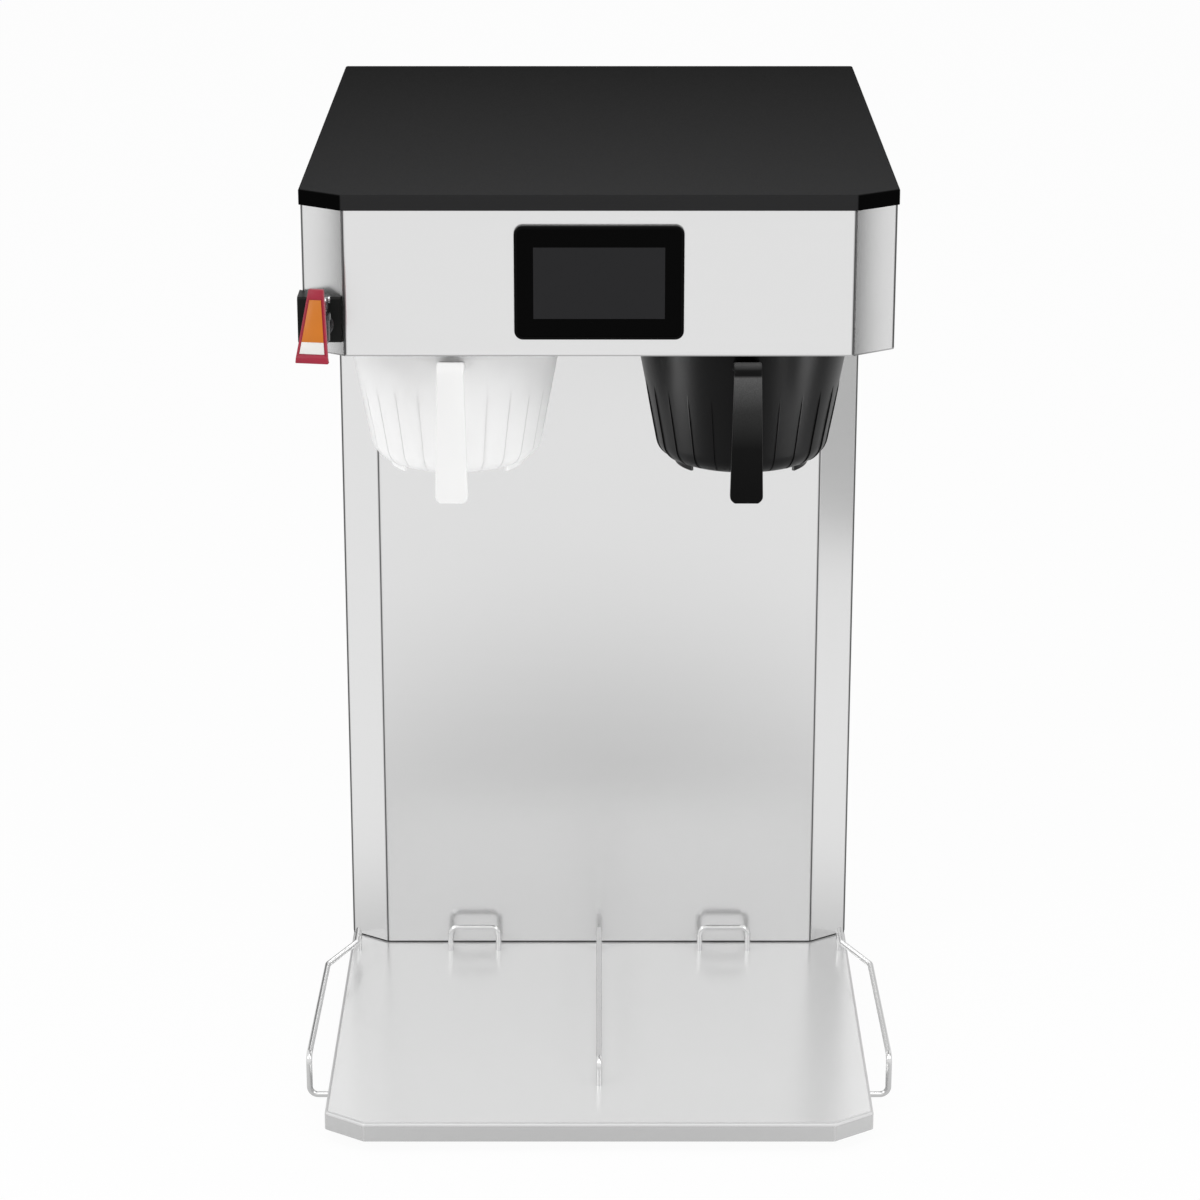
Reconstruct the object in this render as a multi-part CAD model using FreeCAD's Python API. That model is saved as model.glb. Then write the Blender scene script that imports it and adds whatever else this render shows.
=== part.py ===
import FreeCAD, Part
import math
import os

# Twin coffee and tea brewer: a hood over a server bay, two brew funnels, a hot water faucet and a base tray.
# Millimetres, +Z up, the front faces -Y. The origin is on the counter, below the middle of the whole box.

# Body
WIDTH = 510.0
DEPTH = 623.0
FOOT_HEIGHT = 12.0
TRAY_HEIGHT = 18.0
BAY_HEIGHT = 728.0
HOOD_HEIGHT = 128.0
LID_HEIGHT = 13.5
CORNER_X = 37.5
CORNER_Y = 25.0
OVERHANG = 408.0
LID_LEAD = 6.0
LID_SIDE = 1.0
LID_TAIL = 2.5
LID_WALL = 2.5
LID_EDGE = 1.5
SHEET = 1.2
BEND = 6.0
TRAY_BEND = 4.0
LID_BEND = 3.0
TRAY_EDGE = 3.0
RETURN_FLANGE = 18.0
TOP_FLANGE = 12.0
FLOOR_RECESS = 12.0
SEAM_HEIGHT = 1.6
SEAM_INSET = 0.4
SEAM_WIDTH = 3.0
FIT = 0.2

# Reach of the water inlet behind the lid
REAR_REACH = 18.0

# Base stiffeners and feet
CHANNEL_WIDTH = 52.0
CHANNEL_SHEET = 2.0
CHANNEL_X = 195.0
CHANNEL_END = 40.0
FOOT_TOP_R = 17.0
FOOT_BOTTOM_R = 15.0
FOOT_INSET = 34.0
FOOT_RECESS_R = 5.0
FOOT_RECESS = 6.0

# Wire guides on the tray
WIRE_R = 2.8
WIRE_BEND = 8.0
GUIDE_HEIGHT = 25.5
GUIDE_OUT = 18.7
GUIDE_NECK = 16.0
GUIDE_LEG_INSET = 9.0
GUIDE_FOOT_RISE = 3.4
GUIDE_FRONT = 90.0
GUIDE_SHOULDER = 297.0
GUIDE_WAIST = 350.0
GUIDE_BACK = 388.0
DIVIDER_FRONT = 80.0
STOP_SPAN = 49.0
STOP_BEND = 8.0

# Display
DISPLAY_WIDTH = 145.0
DISPLAY_HEIGHT = 99.0
DISPLAY_RISE = 65.0
DISPLAY_PROUD = 5.0
DISPLAY_CORNER = 7.5
DISPLAY_EDGE = 1.5
BEZEL_RIM = 3.0
GLASS_SHEET = 2.0
GLASS_SINK = 0.4
SCREEN_WIDTH = 118.0
SCREEN_HEIGHT = 68.0
SCREEN_DEPTH = 16.0
SCREEN_ROUND = 4.0

# Brew funnels, centred below the spray heads
FUNNEL_X = 127.5
FUNNEL_SETBACK = 118.0
RIM_DROP = 3.0
BOWL_TOP_R = 95.5
BOWL_LOW_R = 73.1
BOWL_DEPTH = 117.0
BOWL_CORNER = 22.0
BOWL_WALL = 3.0
OUTLET_R = 9.0
OUTLET_BORE = 5.0
OUTLET_DROP = 8.0
RIB_HEIGHT = 0.8
RIB_WIDTH = 1.4
RIB_START = 41.0
RIB_FIRST = 20.5
RIB_STEP = 15.0
RIBS_PER_SIDE = 11
FUNNEL_FOOT_R = 59.5
FUNNEL_FOOT_WALL = 3.5
FUNNEL_FOOT_DROP = 3.6
FUNNEL_FOOT_ANGLES = (50.0, 84.0)
RUNNER_REACH = 103.0
RUNNER_LENGTH = 130.0
RUNNER_SHEET = 3.5

# Funnel handle
HANDLE_LEAD = 8.0
HANDLE_PLATE = 8.0
HANDLE_ARM = 11.0
HANDLE_LENGTH = 125.0
HANDLE_TOP_WIDTH = 23.7
HANDLE_LOW_WIDTH = 28.8
HANDLE_ROUND = 6.0
HANDLE_BEND = 9.0
HANDLE_INNER_BEND = 4.0
HANDLE_EDGE = 1.6

# Funnel rails
RAIL_SHEET = 1.5
RAIL_GAP = 0.4
RAIL_SIDE_GAP = 0.6
RAIL_LEDGE = 6.6
RAIL_FLANGE = 11.0
RAIL_FRONT = 68.0
RAIL_LENGTH = 152.0

# Spray heads
SPRAY_GAP = 2.0
SPRAY_R = 33.0
SPRAY_PLATE = 1.5
SPRAY_RIM = 4.0
SPRAY_CAVITY = 2.5
SPRAY_NECK_R = 12.0
SPRAY_HOLE_R = 1.5
SPRAY_RING_R = (11.0, 22.0)
SPRAY_RING_HOLES = (6, 12)
SPRAY_NUT_R = 18.0
SPRAY_NUT = 6.0

# Water lines
BARB_R = 5.0
BARB_LENGTH = 12.0
BARB_BORE = 3.0
TUBE_R = 7.5
TUBE_BEND = 16.0

# Water tank
TANK_WIDTH = 380.0
TANK_HEIGHT = 350.0
TANK_GAP = 26.0
TANK_HEADROOM = 34.0
TANK_WALL = 1.5
TANK_CORNER = 20.0
TANK_FLANGE = 10.0
TANK_LIP = 2.0
GASKET = 2.0
TANK_COVER = 3.0
STAND_SHEET = 2.0
ELEMENT_R = 4.0
ELEMENT_SPAN = 110.0
ELEMENT_PITCH = 62.0
ELEMENT_CLEAR = 40.0
COLLAR_R = 9.0
COLLAR = 6.0
PROBE_R = 3.0
PROBE_LENGTH = 120.0
PROBE_X = 90.0
LEVEL_LENGTH = 60.0

# Brew valves on the tank's front
VALVE_DROP = 44.0
VALVE_BLOCK = 28.0
VALVE_LENGTH = 34.0
VALVE_STUB_R = 8.0
COIL_R = 16.0
COIL_HEIGHT = 26.0

# Water inlet and electrics at the back
INLET_INSET = 40.0
INLET_RISE = 50.0
INLET_R = 5.55
INLET_HEX_R = 10.5
INLET_HEX = 7.0
INLET_SHANK_R = 8.0
INLET_SHANK = 8.0
INLET_BORE = 3.5
INLET_BLOCK = 40.0
GLAND_X = -185.0
GLAND_R = 11.0
GLAND_NECK_R = 8.0
GLAND_BORE = 5.0
GLAND_FLANGE = 4.0
GLAND_REACH = 14.0
GLAND_TAIL = 9.0
SWITCH_X = -120.0
SWITCH_WIDTH = 24.0
SWITCH_HEIGHT = 32.0
SWITCH_FRAME = 3.0
SWITCH_PROUD = 2.5
SWITCH_BODY = 20.0
ROCKER_GAP = 0.5
ROCKER_TILT = 8.0
ROCKER_BACK = 9.0
ROCKER_PROUD = 4.0
SUPPLY_SIZE = (130.0, 70.0, 100.0)
SUPPLY_FINS = 9
FIN_SHEET = 3.0
FIN_HEIGHT = 22.0
TERMINAL_SIZE = (60.0, 34.0, 30.0)
TERMINAL_WAYS = 5
TERMINAL_WALL = 2.5
TERMINAL_STEP = 12.0
BOARD_SIZE = (170.0, 120.0)
BOARD_SHEET = 1.6
BOARD_SETBACK = 70.0
RELAY_SIZE = (18.0, 18.0, 16.0)
RELAYS = 4
HEADER_SIZE = (85.0, 12.0, 9.0)
HEADER_INSET = 6.0
STANDOFF = 9.0
STANDOFF_R = 4.0
STANDOFF_INSET = 8.0

# Rear cover
COVER_MARGIN = 1.0
SCREW_R = 4.2
SCREW_HEAD = 2.2
SCREW_SHANK_R = 2.0
SCREW_INSET = 10.0
SCREW_ROWS = 5
SLOT_LENGTH = 76.0
SLOT_HEIGHT = 4.0
SLOT_PITCH = 11.0
SLOT_ROWS = 7
SLOT_X = 105.0
SLOT_RISE_LOW = 140.0
SLOT_DROP_HIGH = 120.0
LOUVRE_REACH = 4.0
LOUVRE_RISE = 3.0

# Hot water faucet
FAUCET_X = -237.5
FAUCET_LEAD = 26.0
SHANK_RISE = 29.0
SHANK_R = 7.0
SHANK_INSIDE = 52.0
WATER_BORE = 4.0
BLOCK_BELOW = 17.0
BLOCK_ABOVE = 23.0
BLOCK_SIDE = 2.5
BLOCK_PROUD = 1.5
BLOCK_EDGE = 2.5
BLOCK_TAPER_END = 3.0
COLLAR_PLATE_R = 11.0
COLLAR_PLATE = 3.0
BODY_R = 9.5
BODY_ABOVE = 10.2
BODY_BELOW = 8.0
SPOUT_R = 6.5
SPOUT_DROP = 15.0
SPOUT_TAPER = 4.0
CHAMBER_R = 7.0
CHAMBER_FLOOR = 6.0
BONNET_R = 10.5
BONNET = 5.0
PIVOT_RISE = 25.0
PIVOT_BACK = 9.0
PIVOT_R = 2.0
PIVOT_HEAD_R = 3.0
PIVOT_HEAD = 1.5
EAR_SHEET = 3.0
EAR_HALF = 4.0
PIN_FIT = 0.05
RUNNING_FIT = 0.1
CROSS_PIN_R = 1.5
SLOT_SLACK = 0.45
CLEVIS_SHEET = 2.0
CLEVIS_HALF = 3.5
CLEVIS_SEAT = 7.2
CLEVIS_BASE = 2.2
STEM_R = 2.5
STEM_FIT = 0.3
CUP_R = 5.8
CUP_HEIGHT = 5.0
CUP_NOSE_R = 4.8
SEAT_GAP = 0.3
SPRING_R = 4.3
SPRING_WIRE_R = 0.6
SPRING_TURNS = 3
SPRING_GAP = 0.3
NUT_R = 13.0
NUT = 8.0
NUT_GAP = 0.3

# Faucet lever
LEVER_TILT = 28.0
LEVER_RISE = 16.0
LEVER_DROP = 43.0
LEVER_LIP = 4.7
LEVER_TOP_WIDTH = 12.8
LEVER_LOW_WIDTH = 28.6
LEVER_PLATE = 4.2
LEVER_FACE_LEAD = 22.0
LEVER_LIP_LEAD = 42.0
LEVER_YAW = 9.5
LEVER_ROUND = 1.4
ARM_HALF_WIDTH = 4.5
ARM_HALF_HEIGHT = 4.0
ARM_SIDE_GAP = 0.4
ARM_TAIL = 4.5
LABEL_SHEET = 0.5
LABEL_MARGIN = 2.4
BAND_TOP = 7.8
TAG_TOP = 41.7
TAG_LOW = 51.5

# Places worked out from the sizes above
HALF = WIDTH / 2
LEVER_SPREAD = (LEVER_LOW_WIDTH - LEVER_TOP_WIDTH) / 2 / (LEVER_RISE + LEVER_DROP)
LIP_HALF = LEVER_LOW_WIDTH / 2 - LEVER_SPREAD * LEVER_ROUND
LEVER_TURN = math.radians(LEVER_YAW)
LIP_THROW = LEVER_LIP_LEAD - LEVER_FACE_LEAD
LEVER_AHEAD = LEVER_FACE_LEAD + LIP_THROW * math.cos(LEVER_TURN) + LIP_HALF * math.sin(LEVER_TURN)
FRONT = (LEVER_AHEAD + FAUCET_LEAD - LID_LEAD - DEPTH - REAR_REACH) / 2
BACK = FRONT + DEPTH
HOOD_FRONT = FRONT + LID_LEAD
TRUNK_FRONT = FRONT + OVERHANG
BODY_BACK = BACK - LID_TAIL
TRAY_TOP = FOOT_HEIGHT + TRAY_HEIGHT
HOOD_Z = TRAY_TOP + BAY_HEIGHT
LID_Z = HOOD_Z + HOOD_HEIGHT
FLOOR_Z = HOOD_Z + FLOOR_RECESS
RIM_Z = HOOD_Z - RIM_DROP
FUNNEL_Y = FRONT + FUNNEL_SETBACK
SPRAY_Z = RIM_Z + SPRAY_GAP
TANK_FRONT = TRUNK_FRONT + TANK_GAP
TANK_BACK = BODY_BACK - TANK_GAP
TANK_TOP = LID_Z - TANK_HEADROOM
TANK_Z = TANK_TOP - TANK_HEIGHT
COVER_TOP = TANK_TOP + GASKET + TANK_COVER
VALVE_Z = TANK_TOP - VALVE_DROP
VALVE_FRONT = TANK_FRONT - VALVE_STUB_R - VALVE_LENGTH
INLET_X = TANK_WIDTH / 2 - INLET_INSET
INLET_Z = TRAY_TOP + INLET_RISE
INLET_FACE = BODY_BACK + SHEET
VALVE_BACK = BODY_BACK - INLET_SHANK
DISPLAY_Z = HOOD_Z + DISPLAY_RISE
FAUCET_Y = HOOD_FRONT - FAUCET_LEAD
BLOCK_FRONT = HOOD_FRONT - BLOCK_PROUD
SHANK_Z = HOOD_Z + SHANK_RISE
BODY_TOP = SHANK_Z + BODY_ABOVE
PIVOT_Z = SHANK_Z + PIVOT_RISE
PIVOT_Y = FAUCET_Y + PIVOT_BACK
SEAT_Z = SHANK_Z - CHAMBER_FLOOR
CUP_Z = SEAT_Z + SEAT_GAP

UP = FreeCAD.Vector(0, 0, 1)
ALONG_X = FreeCAD.Vector(1, 0, 0)
ALONG_Y = FreeCAD.Vector(0, 1, 0)


def vec(x, y, z):
    return FreeCAD.Vector(x, y, z)


def plan_face(points, z):
    """Flat face at height z through (x, y) points."""
    corners = [vec(x, y, z) for x, y in points]
    return Part.Face(Part.makePolygon(corners + corners[:1]))


def side_face(points, x):
    """Face in the plane at x, through (y, z) points."""
    corners = [vec(x, y, z) for y, z in points]
    return Part.Face(Part.makePolygon(corners + corners[:1]))


def front_face(points, y):
    """Face in the plane at y, through (x, z) points."""
    corners = [vec(x, y, z) for x, z in points]
    return Part.Face(Part.makePolygon(corners + corners[:1]))


def soften(face, radius):
    """Round the convex corners of a flat face."""
    return face.makeOffset2D(-radius, 2).makeOffset2D(radius)


def inset(face, distance):
    return face.makeOffset2D(-distance, 2)


def prism(face, height):
    return face.extrude(UP * height)


def box(x0, x1, y0, y1, z0, z1):
    return Part.makeBox(x1 - x0, y1 - y0, z1 - z0, vec(x0, y0, z0))


def cylinder(radius, start, end):
    along = end - start
    return Part.makeCylinder(radius, along.Length, start, along)


def hexagon(radius, start, end):
    """Six-sided bar with its corners on the given radius."""
    along = end - start
    bar = Part.makePolygon(
        [
            vec(radius * math.cos(a), radius * math.sin(a), 0)
            for a in (math.radians(60 * i) for i in range(7))
        ]
    )
    solid = Part.Face(bar).extrude(UP * along.Length)
    solid.Placement = FreeCAD.Placement(start, FreeCAD.Rotation(UP, along))
    return solid


def turned(points, x=0.0, y=0.0, z=0.0):
    """Solid of revolution about a vertical axis, from (radius, height) points."""
    corners = [vec(r, 0, h) for r, h in points]
    face = Part.Face(Part.makePolygon(corners + corners[:1]))
    solid = face.revolve(vec(0, 0, 0), UP, 360)
    solid.translate(vec(x, y, z))
    return solid


def level_edges(shape, z):
    """Edges that lie flat at height z."""
    return [e for e in shape.Edges if abs(e.BoundBox.ZMin - z) < 1e-4 and abs(e.BoundBox.ZMax - z) < 1e-4]


def bent_path(points, bend):
    """Straight runs joined by tangent arcs."""
    edges = []
    start = points[0]
    for before, corner, after in zip(points, points[1:], points[2:]):
        back = (before - corner).normalize()
        ahead = (after - corner).normalize()
        half = back.getAngle(ahead) / 2
        reach = bend / math.tan(half)
        inward = (back + ahead).normalize()
        middle = corner + inward * (bend / math.sin(half) - bend)
        edges.append(Part.LineSegment(start, corner + back * reach).toShape())
        edges.append(Part.Arc(corner + back * reach, middle, corner + ahead * reach).toShape())
        start = corner + ahead * reach
    edges.append(Part.LineSegment(start, points[-1]).toShape())
    return Part.Wire(edges)


def rod(points, radius, bend):
    """Round bar along a bent path."""
    path = bent_path(points, bend)
    section = Part.Wire(Part.makeCircle(radius, points[0], points[1] - points[0]))
    return path.makePipeShell([section], True, False)


def tube(points, outer, bore, bend):
    return rod(points, outer, bend).cut(rod(points, bore, bend))


def mirrored(shape):
    return shape.mirror(vec(0, 0, 0), ALONG_X)


def body_plan(half_width, front, back, z):
    """Outline of the body seen from above, with its two cut front corners."""
    return plan_face(
        [
            (-half_width, back),
            (-half_width, front + CORNER_Y),
            (CORNER_X - half_width, front),
            (half_width - CORNER_X, front),
            (half_width, front + CORNER_Y),
            (half_width, back),
        ],
        z,
    )


def sheet_ring(outline, height):
    """Upright sheet wall along an outline, open above and below."""
    return prism(outline, height).cut(prism(inset(outline, SHEET), height))


def back_opening(z, height):
    """Cutter for the open back of a wrap, inside its return flanges."""
    reach = HALF - SHEET - RETURN_FLANGE
    return box(-reach, reach, BODY_BACK - 2 * SHEET, BODY_BACK + SHEET, z, z + height)


def make_base_tray():
    outline = soften(body_plan(HALF, FRONT, BODY_BACK, FOOT_HEIGHT), TRAY_BEND)
    outer = prism(outline, TRAY_HEIGHT)
    outer = outer.makeFillet(TRAY_EDGE, level_edges(outer, TRAY_TOP))
    inner = prism(inset(outline, SHEET), TRAY_HEIGHT - SHEET)
    inner = inner.makeFillet(TRAY_EDGE - SHEET, level_edges(inner, TRAY_TOP - SHEET))
    return outer.cut(inner)


def make_base_channels():
    half = CHANNEL_WIDTH / 2
    top = TRAY_TOP - SHEET
    web = half - CHANNEL_SHEET
    section = [
        (-half, FOOT_HEIGHT),
        (half, FOOT_HEIGHT),
        (half, top),
        (web, top),
        (web, FOOT_HEIGHT + CHANNEL_SHEET),
        (-web, FOOT_HEIGHT + CHANNEL_SHEET),
        (-web, top),
        (-half, top),
    ]
    start = FRONT + CHANNEL_END
    channel = front_face(section, start).extrude(ALONG_Y * (BODY_BACK - CHANNEL_END - start))
    return [channel.translated(vec(side * CHANNEL_X, 0, 0)) for side in (-1, 1)]


def make_rubber_feet():
    feet = []
    for y in (FRONT + CHANNEL_END + FOOT_INSET, BODY_BACK - CHANNEL_END - FOOT_INSET):
        for side in (-1, 1):
            foot = Part.makeCone(FOOT_BOTTOM_R, FOOT_TOP_R, FOOT_HEIGHT, vec(side * CHANNEL_X, y, 0))
            recess = Part.makeCylinder(FOOT_RECESS_R, FOOT_RECESS, vec(side * CHANNEL_X, y, 0))
            feet.append(foot.cut(recess))
    return feet


def make_trunk_gasket():
    outline = inset(soften(body_plan(HALF, TRUNK_FRONT, BODY_BACK, TRAY_TOP), BEND), SEAM_INSET)
    return prism(outline, SEAM_HEIGHT).cut(prism(inset(outline, SEAM_WIDTH), SEAM_HEIGHT))


def make_trunk_shell():
    low = TRAY_TOP + SEAM_HEIGHT
    outline = soften(body_plan(HALF, TRUNK_FRONT, BODY_BACK, low), BEND)
    return sheet_ring(outline, HOOD_Z - low).cut(back_opening(low, HOOD_Z - low))


def make_hood_shell():
    outline = soften(body_plan(HALF, HOOD_FRONT, BODY_BACK, HOOD_Z), BEND)
    wrap = sheet_ring(outline, HOOD_HEIGHT)
    lip = inset(outline, SHEET / 2).translated(UP * (HOOD_HEIGHT - SHEET))
    wrap = wrap.fuse(prism(lip, SHEET).cut(prism(inset(lip, TOP_FLANGE), SHEET)))
    wrap = wrap.cut(back_opening(HOOD_Z, HOOD_HEIGHT - SHEET))
    return wrap.cut([screen_window(HOOD_FRONT - SHEET, 3 * SHEET), shank_hole()]).removeSplitter()


def shank_hole():
    """Cutter for the faucet's shank through the hood's corner, its block and its wedge."""
    return cylinder(SHANK_R + FIT, vec(FAUCET_X, FAUCET_Y, SHANK_Z), shank_end())


def shank_end():
    return vec(FAUCET_X, HOOD_FRONT + SHANK_INSIDE, SHANK_Z)


def floor_plan(distance, z):
    """Outline of the hood's underside, inside the wrap, with its back edge on the trunk's front sheet."""
    hood = soften(inset(body_plan(HALF, HOOD_FRONT, BODY_BACK, z), SHEET), BEND - SHEET)
    trunk = inset(body_plan(HALF, TRUNK_FRONT, BODY_BACK, z), SHEET)
    return inset(hood.cut(trunk).Faces[0], distance)


def make_hood_floor():
    outer = prism(floor_plan(FIT, HOOD_Z), FLOOR_RECESS + SHEET)
    pan = outer.cut(prism(floor_plan(FIT + SHEET, HOOD_Z), FLOOR_RECESS))
    neck = Part.makeCylinder(SPRAY_NECK_R + FIT, 2 * SHEET, vec(FUNNEL_X, FUNNEL_Y, FLOOR_Z))
    return pan.cut([neck, mirrored(neck)])


def make_top_lid():
    outline = soften(body_plan(HALF + LID_SIDE, FRONT, BACK, LID_Z), LID_BEND)
    lid = prism(outline, LID_HEIGHT)
    lid = lid.makeFillet(LID_EDGE, level_edges(lid, LID_Z + LID_HEIGHT))
    return lid.cut(prism(inset(outline, LID_WALL), LID_HEIGHT - LID_WALL))


def cover_places():
    """Screw centres (x, z) along both edges of the rear cover."""
    low = TRAY_TOP + SEAM_HEIGHT + 2 * SCREW_INSET
    rise = (LID_Z - TOP_FLANGE - 2 * SCREW_INSET - low) / (SCREW_ROWS - 1)
    reach = HALF - SCREW_INSET
    return [(side * reach, low + row * rise) for side in (-1, 1) for row in range(SCREW_ROWS)]


def louvre_wedge(x, z, length, reach, rise):
    """Wedge on the outside of the rear cover, deepest at its lower edge."""
    outside = BODY_BACK + SHEET
    face = side_face([(outside, z), (outside + reach, z), (outside, z + rise)], x - length / 2)
    return face.extrude(ALONG_X * length)


def make_rear_cover():
    """Back panel with rows of pressed louvres, screw holes and openings for the water and power inlets."""
    reach = HALF - COVER_MARGIN
    plate = box(-reach, reach, BODY_BACK, BODY_BACK + SHEET, TRAY_TOP + COVER_MARGIN, LID_Z - COVER_MARGIN)
    hoods = []
    slots = []
    for low in (TRAY_TOP + SLOT_RISE_LOW, LID_Z - SLOT_DROP_HIGH):
        for row in range(SLOT_ROWS):
            for side in (-1, 1):
                x = side * SLOT_X
                z = low + row * SLOT_PITCH
                left = x - SLOT_LENGTH / 2
                rise = SLOT_HEIGHT + LOUVRE_RISE
                hoods.append(louvre_wedge(x, z, SLOT_LENGTH + 2 * SHEET, LOUVRE_REACH, rise))
                slots.append(louvre_wedge(x, z, SLOT_LENGTH, LOUVRE_REACH - SHEET, SLOT_HEIGHT))
                slots.append(box(left, left + SLOT_LENGTH, BODY_BACK, BODY_BACK + SHEET, z, z + SLOT_HEIGHT))
    inside = BODY_BACK - SHEET
    holes = [cylinder(SCREW_SHANK_R + FIT, vec(x, inside, z), vec(x, BACK, z)) for x, z in cover_places()]
    holes.append(cylinder(INLET_SHANK_R + FIT, vec(INLET_X, inside, INLET_Z), vec(INLET_X, BACK, INLET_Z)))
    holes.append(cylinder(GLAND_NECK_R + FIT, vec(GLAND_X, inside, INLET_Z), vec(GLAND_X, BACK, INLET_Z)))
    holes.append(switch_block(SWITCH_WIDTH / 2 + FIT, SWITCH_HEIGHT / 2 + FIT, inside, BACK))
    return plate.multiFuse(hoods).cut(slots + holes)


def make_cover_screws():
    screws = []
    outside = BODY_BACK + SHEET
    for x, z in cover_places():
        head = cylinder(SCREW_R, vec(x, outside, z), vec(x, outside + SCREW_HEAD, z))
        rim = [e for e in head.Edges if abs(e.BoundBox.YMin - outside - SCREW_HEAD) < 1e-4]
        head = head.makeFillet(SCREW_HEAD / 2, rim[:1])
        shank = cylinder(SCREW_SHANK_R, vec(x, outside - SHEET, z), vec(x, outside, z))
        screws.append(head.fuse(shank))
    return screws


def guide_wire(points, bend):
    return rod([vec(x, y, z) for x, y, z in points], WIRE_R, bend)


def make_side_guide():
    """Right side guide: a leg on the tray, a run beside the tray's edge and a foot in the tray's side."""
    high = TRAY_TOP + GUIDE_HEIGHT
    low = FOOT_HEIGHT + GUIDE_FOOT_RISE
    out = HALF + GUIDE_OUT
    leg = HALF - GUIDE_LEG_INSET
    return guide_wire(
        [
            (leg, FRONT + GUIDE_BACK, TRAY_TOP),
            (leg, FRONT + GUIDE_BACK, high),
            (leg, FRONT + GUIDE_WAIST, high),
            (HALF + GUIDE_NECK, FRONT + GUIDE_SHOULDER, high),
            (out, FRONT + GUIDE_FRONT, high),
            (out, FRONT + GUIDE_FRONT, low),
            (HALF, FRONT + GUIDE_FRONT, low),
        ],
        WIRE_BEND,
    )


def make_centre_divider():
    high = TRAY_TOP + GUIDE_HEIGHT
    return guide_wire(
        [
            (0, FRONT + GUIDE_BACK, TRAY_TOP),
            (0, FRONT + GUIDE_BACK, high),
            (0, FRONT + DIVIDER_FRONT, high),
            (0, FRONT + DIVIDER_FRONT, TRAY_TOP),
        ],
        WIRE_BEND,
    )


def make_server_stop(side):
    high = TRAY_TOP + GUIDE_HEIGHT
    left = side * FUNNEL_X - STOP_SPAN / 2
    right = left + STOP_SPAN
    y = FRONT + GUIDE_BACK
    path = [(left, y, TRAY_TOP), (left, y, high), (right, y, high), (right, y, TRAY_TOP)]
    return guide_wire(path, STOP_BEND)


def rounded_plate(width, height, corner, y, thickness):
    """Upright plate with rounded corners, centred on the display, running back from y."""
    x = width / 2
    z = height / 2
    corners = [(-x, DISPLAY_Z - z), (x, DISPLAY_Z - z), (x, DISPLAY_Z + z), (-x, DISPLAY_Z + z)]
    return soften(front_face(corners, y), corner).extrude(ALONG_Y * thickness)


def screen_window(y, thickness):
    """Cutter for the display module, with clearance all round."""
    return rounded_plate(SCREEN_WIDTH + 2 * FIT, SCREEN_HEIGHT + 2 * FIT, SCREEN_ROUND, y, thickness)


def make_display_bezel():
    face = HOOD_FRONT - DISPLAY_PROUD
    frame = rounded_plate(DISPLAY_WIDTH, DISPLAY_HEIGHT, DISPLAY_CORNER, face, DISPLAY_PROUD)
    edges = [e for e in frame.Edges if abs(e.BoundBox.YMax - face) < 1e-4]
    frame = frame.makeFillet(DISPLAY_EDGE, edges)
    pocket = glass_plate(FIT, face, GLASS_SINK + GLASS_SHEET)
    return frame.cut([pocket, screen_window(face, DISPLAY_PROUD)])


def glass_plate(extra, y, thickness):
    rim = BEZEL_RIM - extra
    width = DISPLAY_WIDTH - 2 * rim
    height = DISPLAY_HEIGHT - 2 * rim
    return rounded_plate(width, height, DISPLAY_CORNER - rim, y, thickness)


def make_touch_glass():
    return glass_plate(0.0, HOOD_FRONT - DISPLAY_PROUD + GLASS_SINK, GLASS_SHEET)


def make_lcd_module():
    back_of_glass = HOOD_FRONT - DISPLAY_PROUD + GLASS_SINK + GLASS_SHEET
    return rounded_plate(SCREEN_WIDTH, SCREEN_HEIGHT, SCREEN_ROUND - FIT, back_of_glass, SCREEN_DEPTH)


def bowl_solid(grow, shrink_top=0.0):
    """Solid of the bowl's outer form, grown by a distance, about the funnel's own axis."""
    slope = math.atan2(BOWL_TOP_R - BOWL_LOW_R, BOWL_DEPTH)
    side = grow / math.cos(slope)
    floor = grow * math.tan(math.pi / 4 - slope / 2)
    top = RIM_Z - shrink_top
    low = RIM_Z - BOWL_DEPTH - grow
    top_r = BOWL_TOP_R + side - shrink_top * math.tan(slope)
    solid = turned([(0, top), (top_r, top), (BOWL_LOW_R + floor, low), (0, low)])
    return solid.makeFillet(BOWL_CORNER + grow, [e for e in level_edges(solid, low)])


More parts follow.
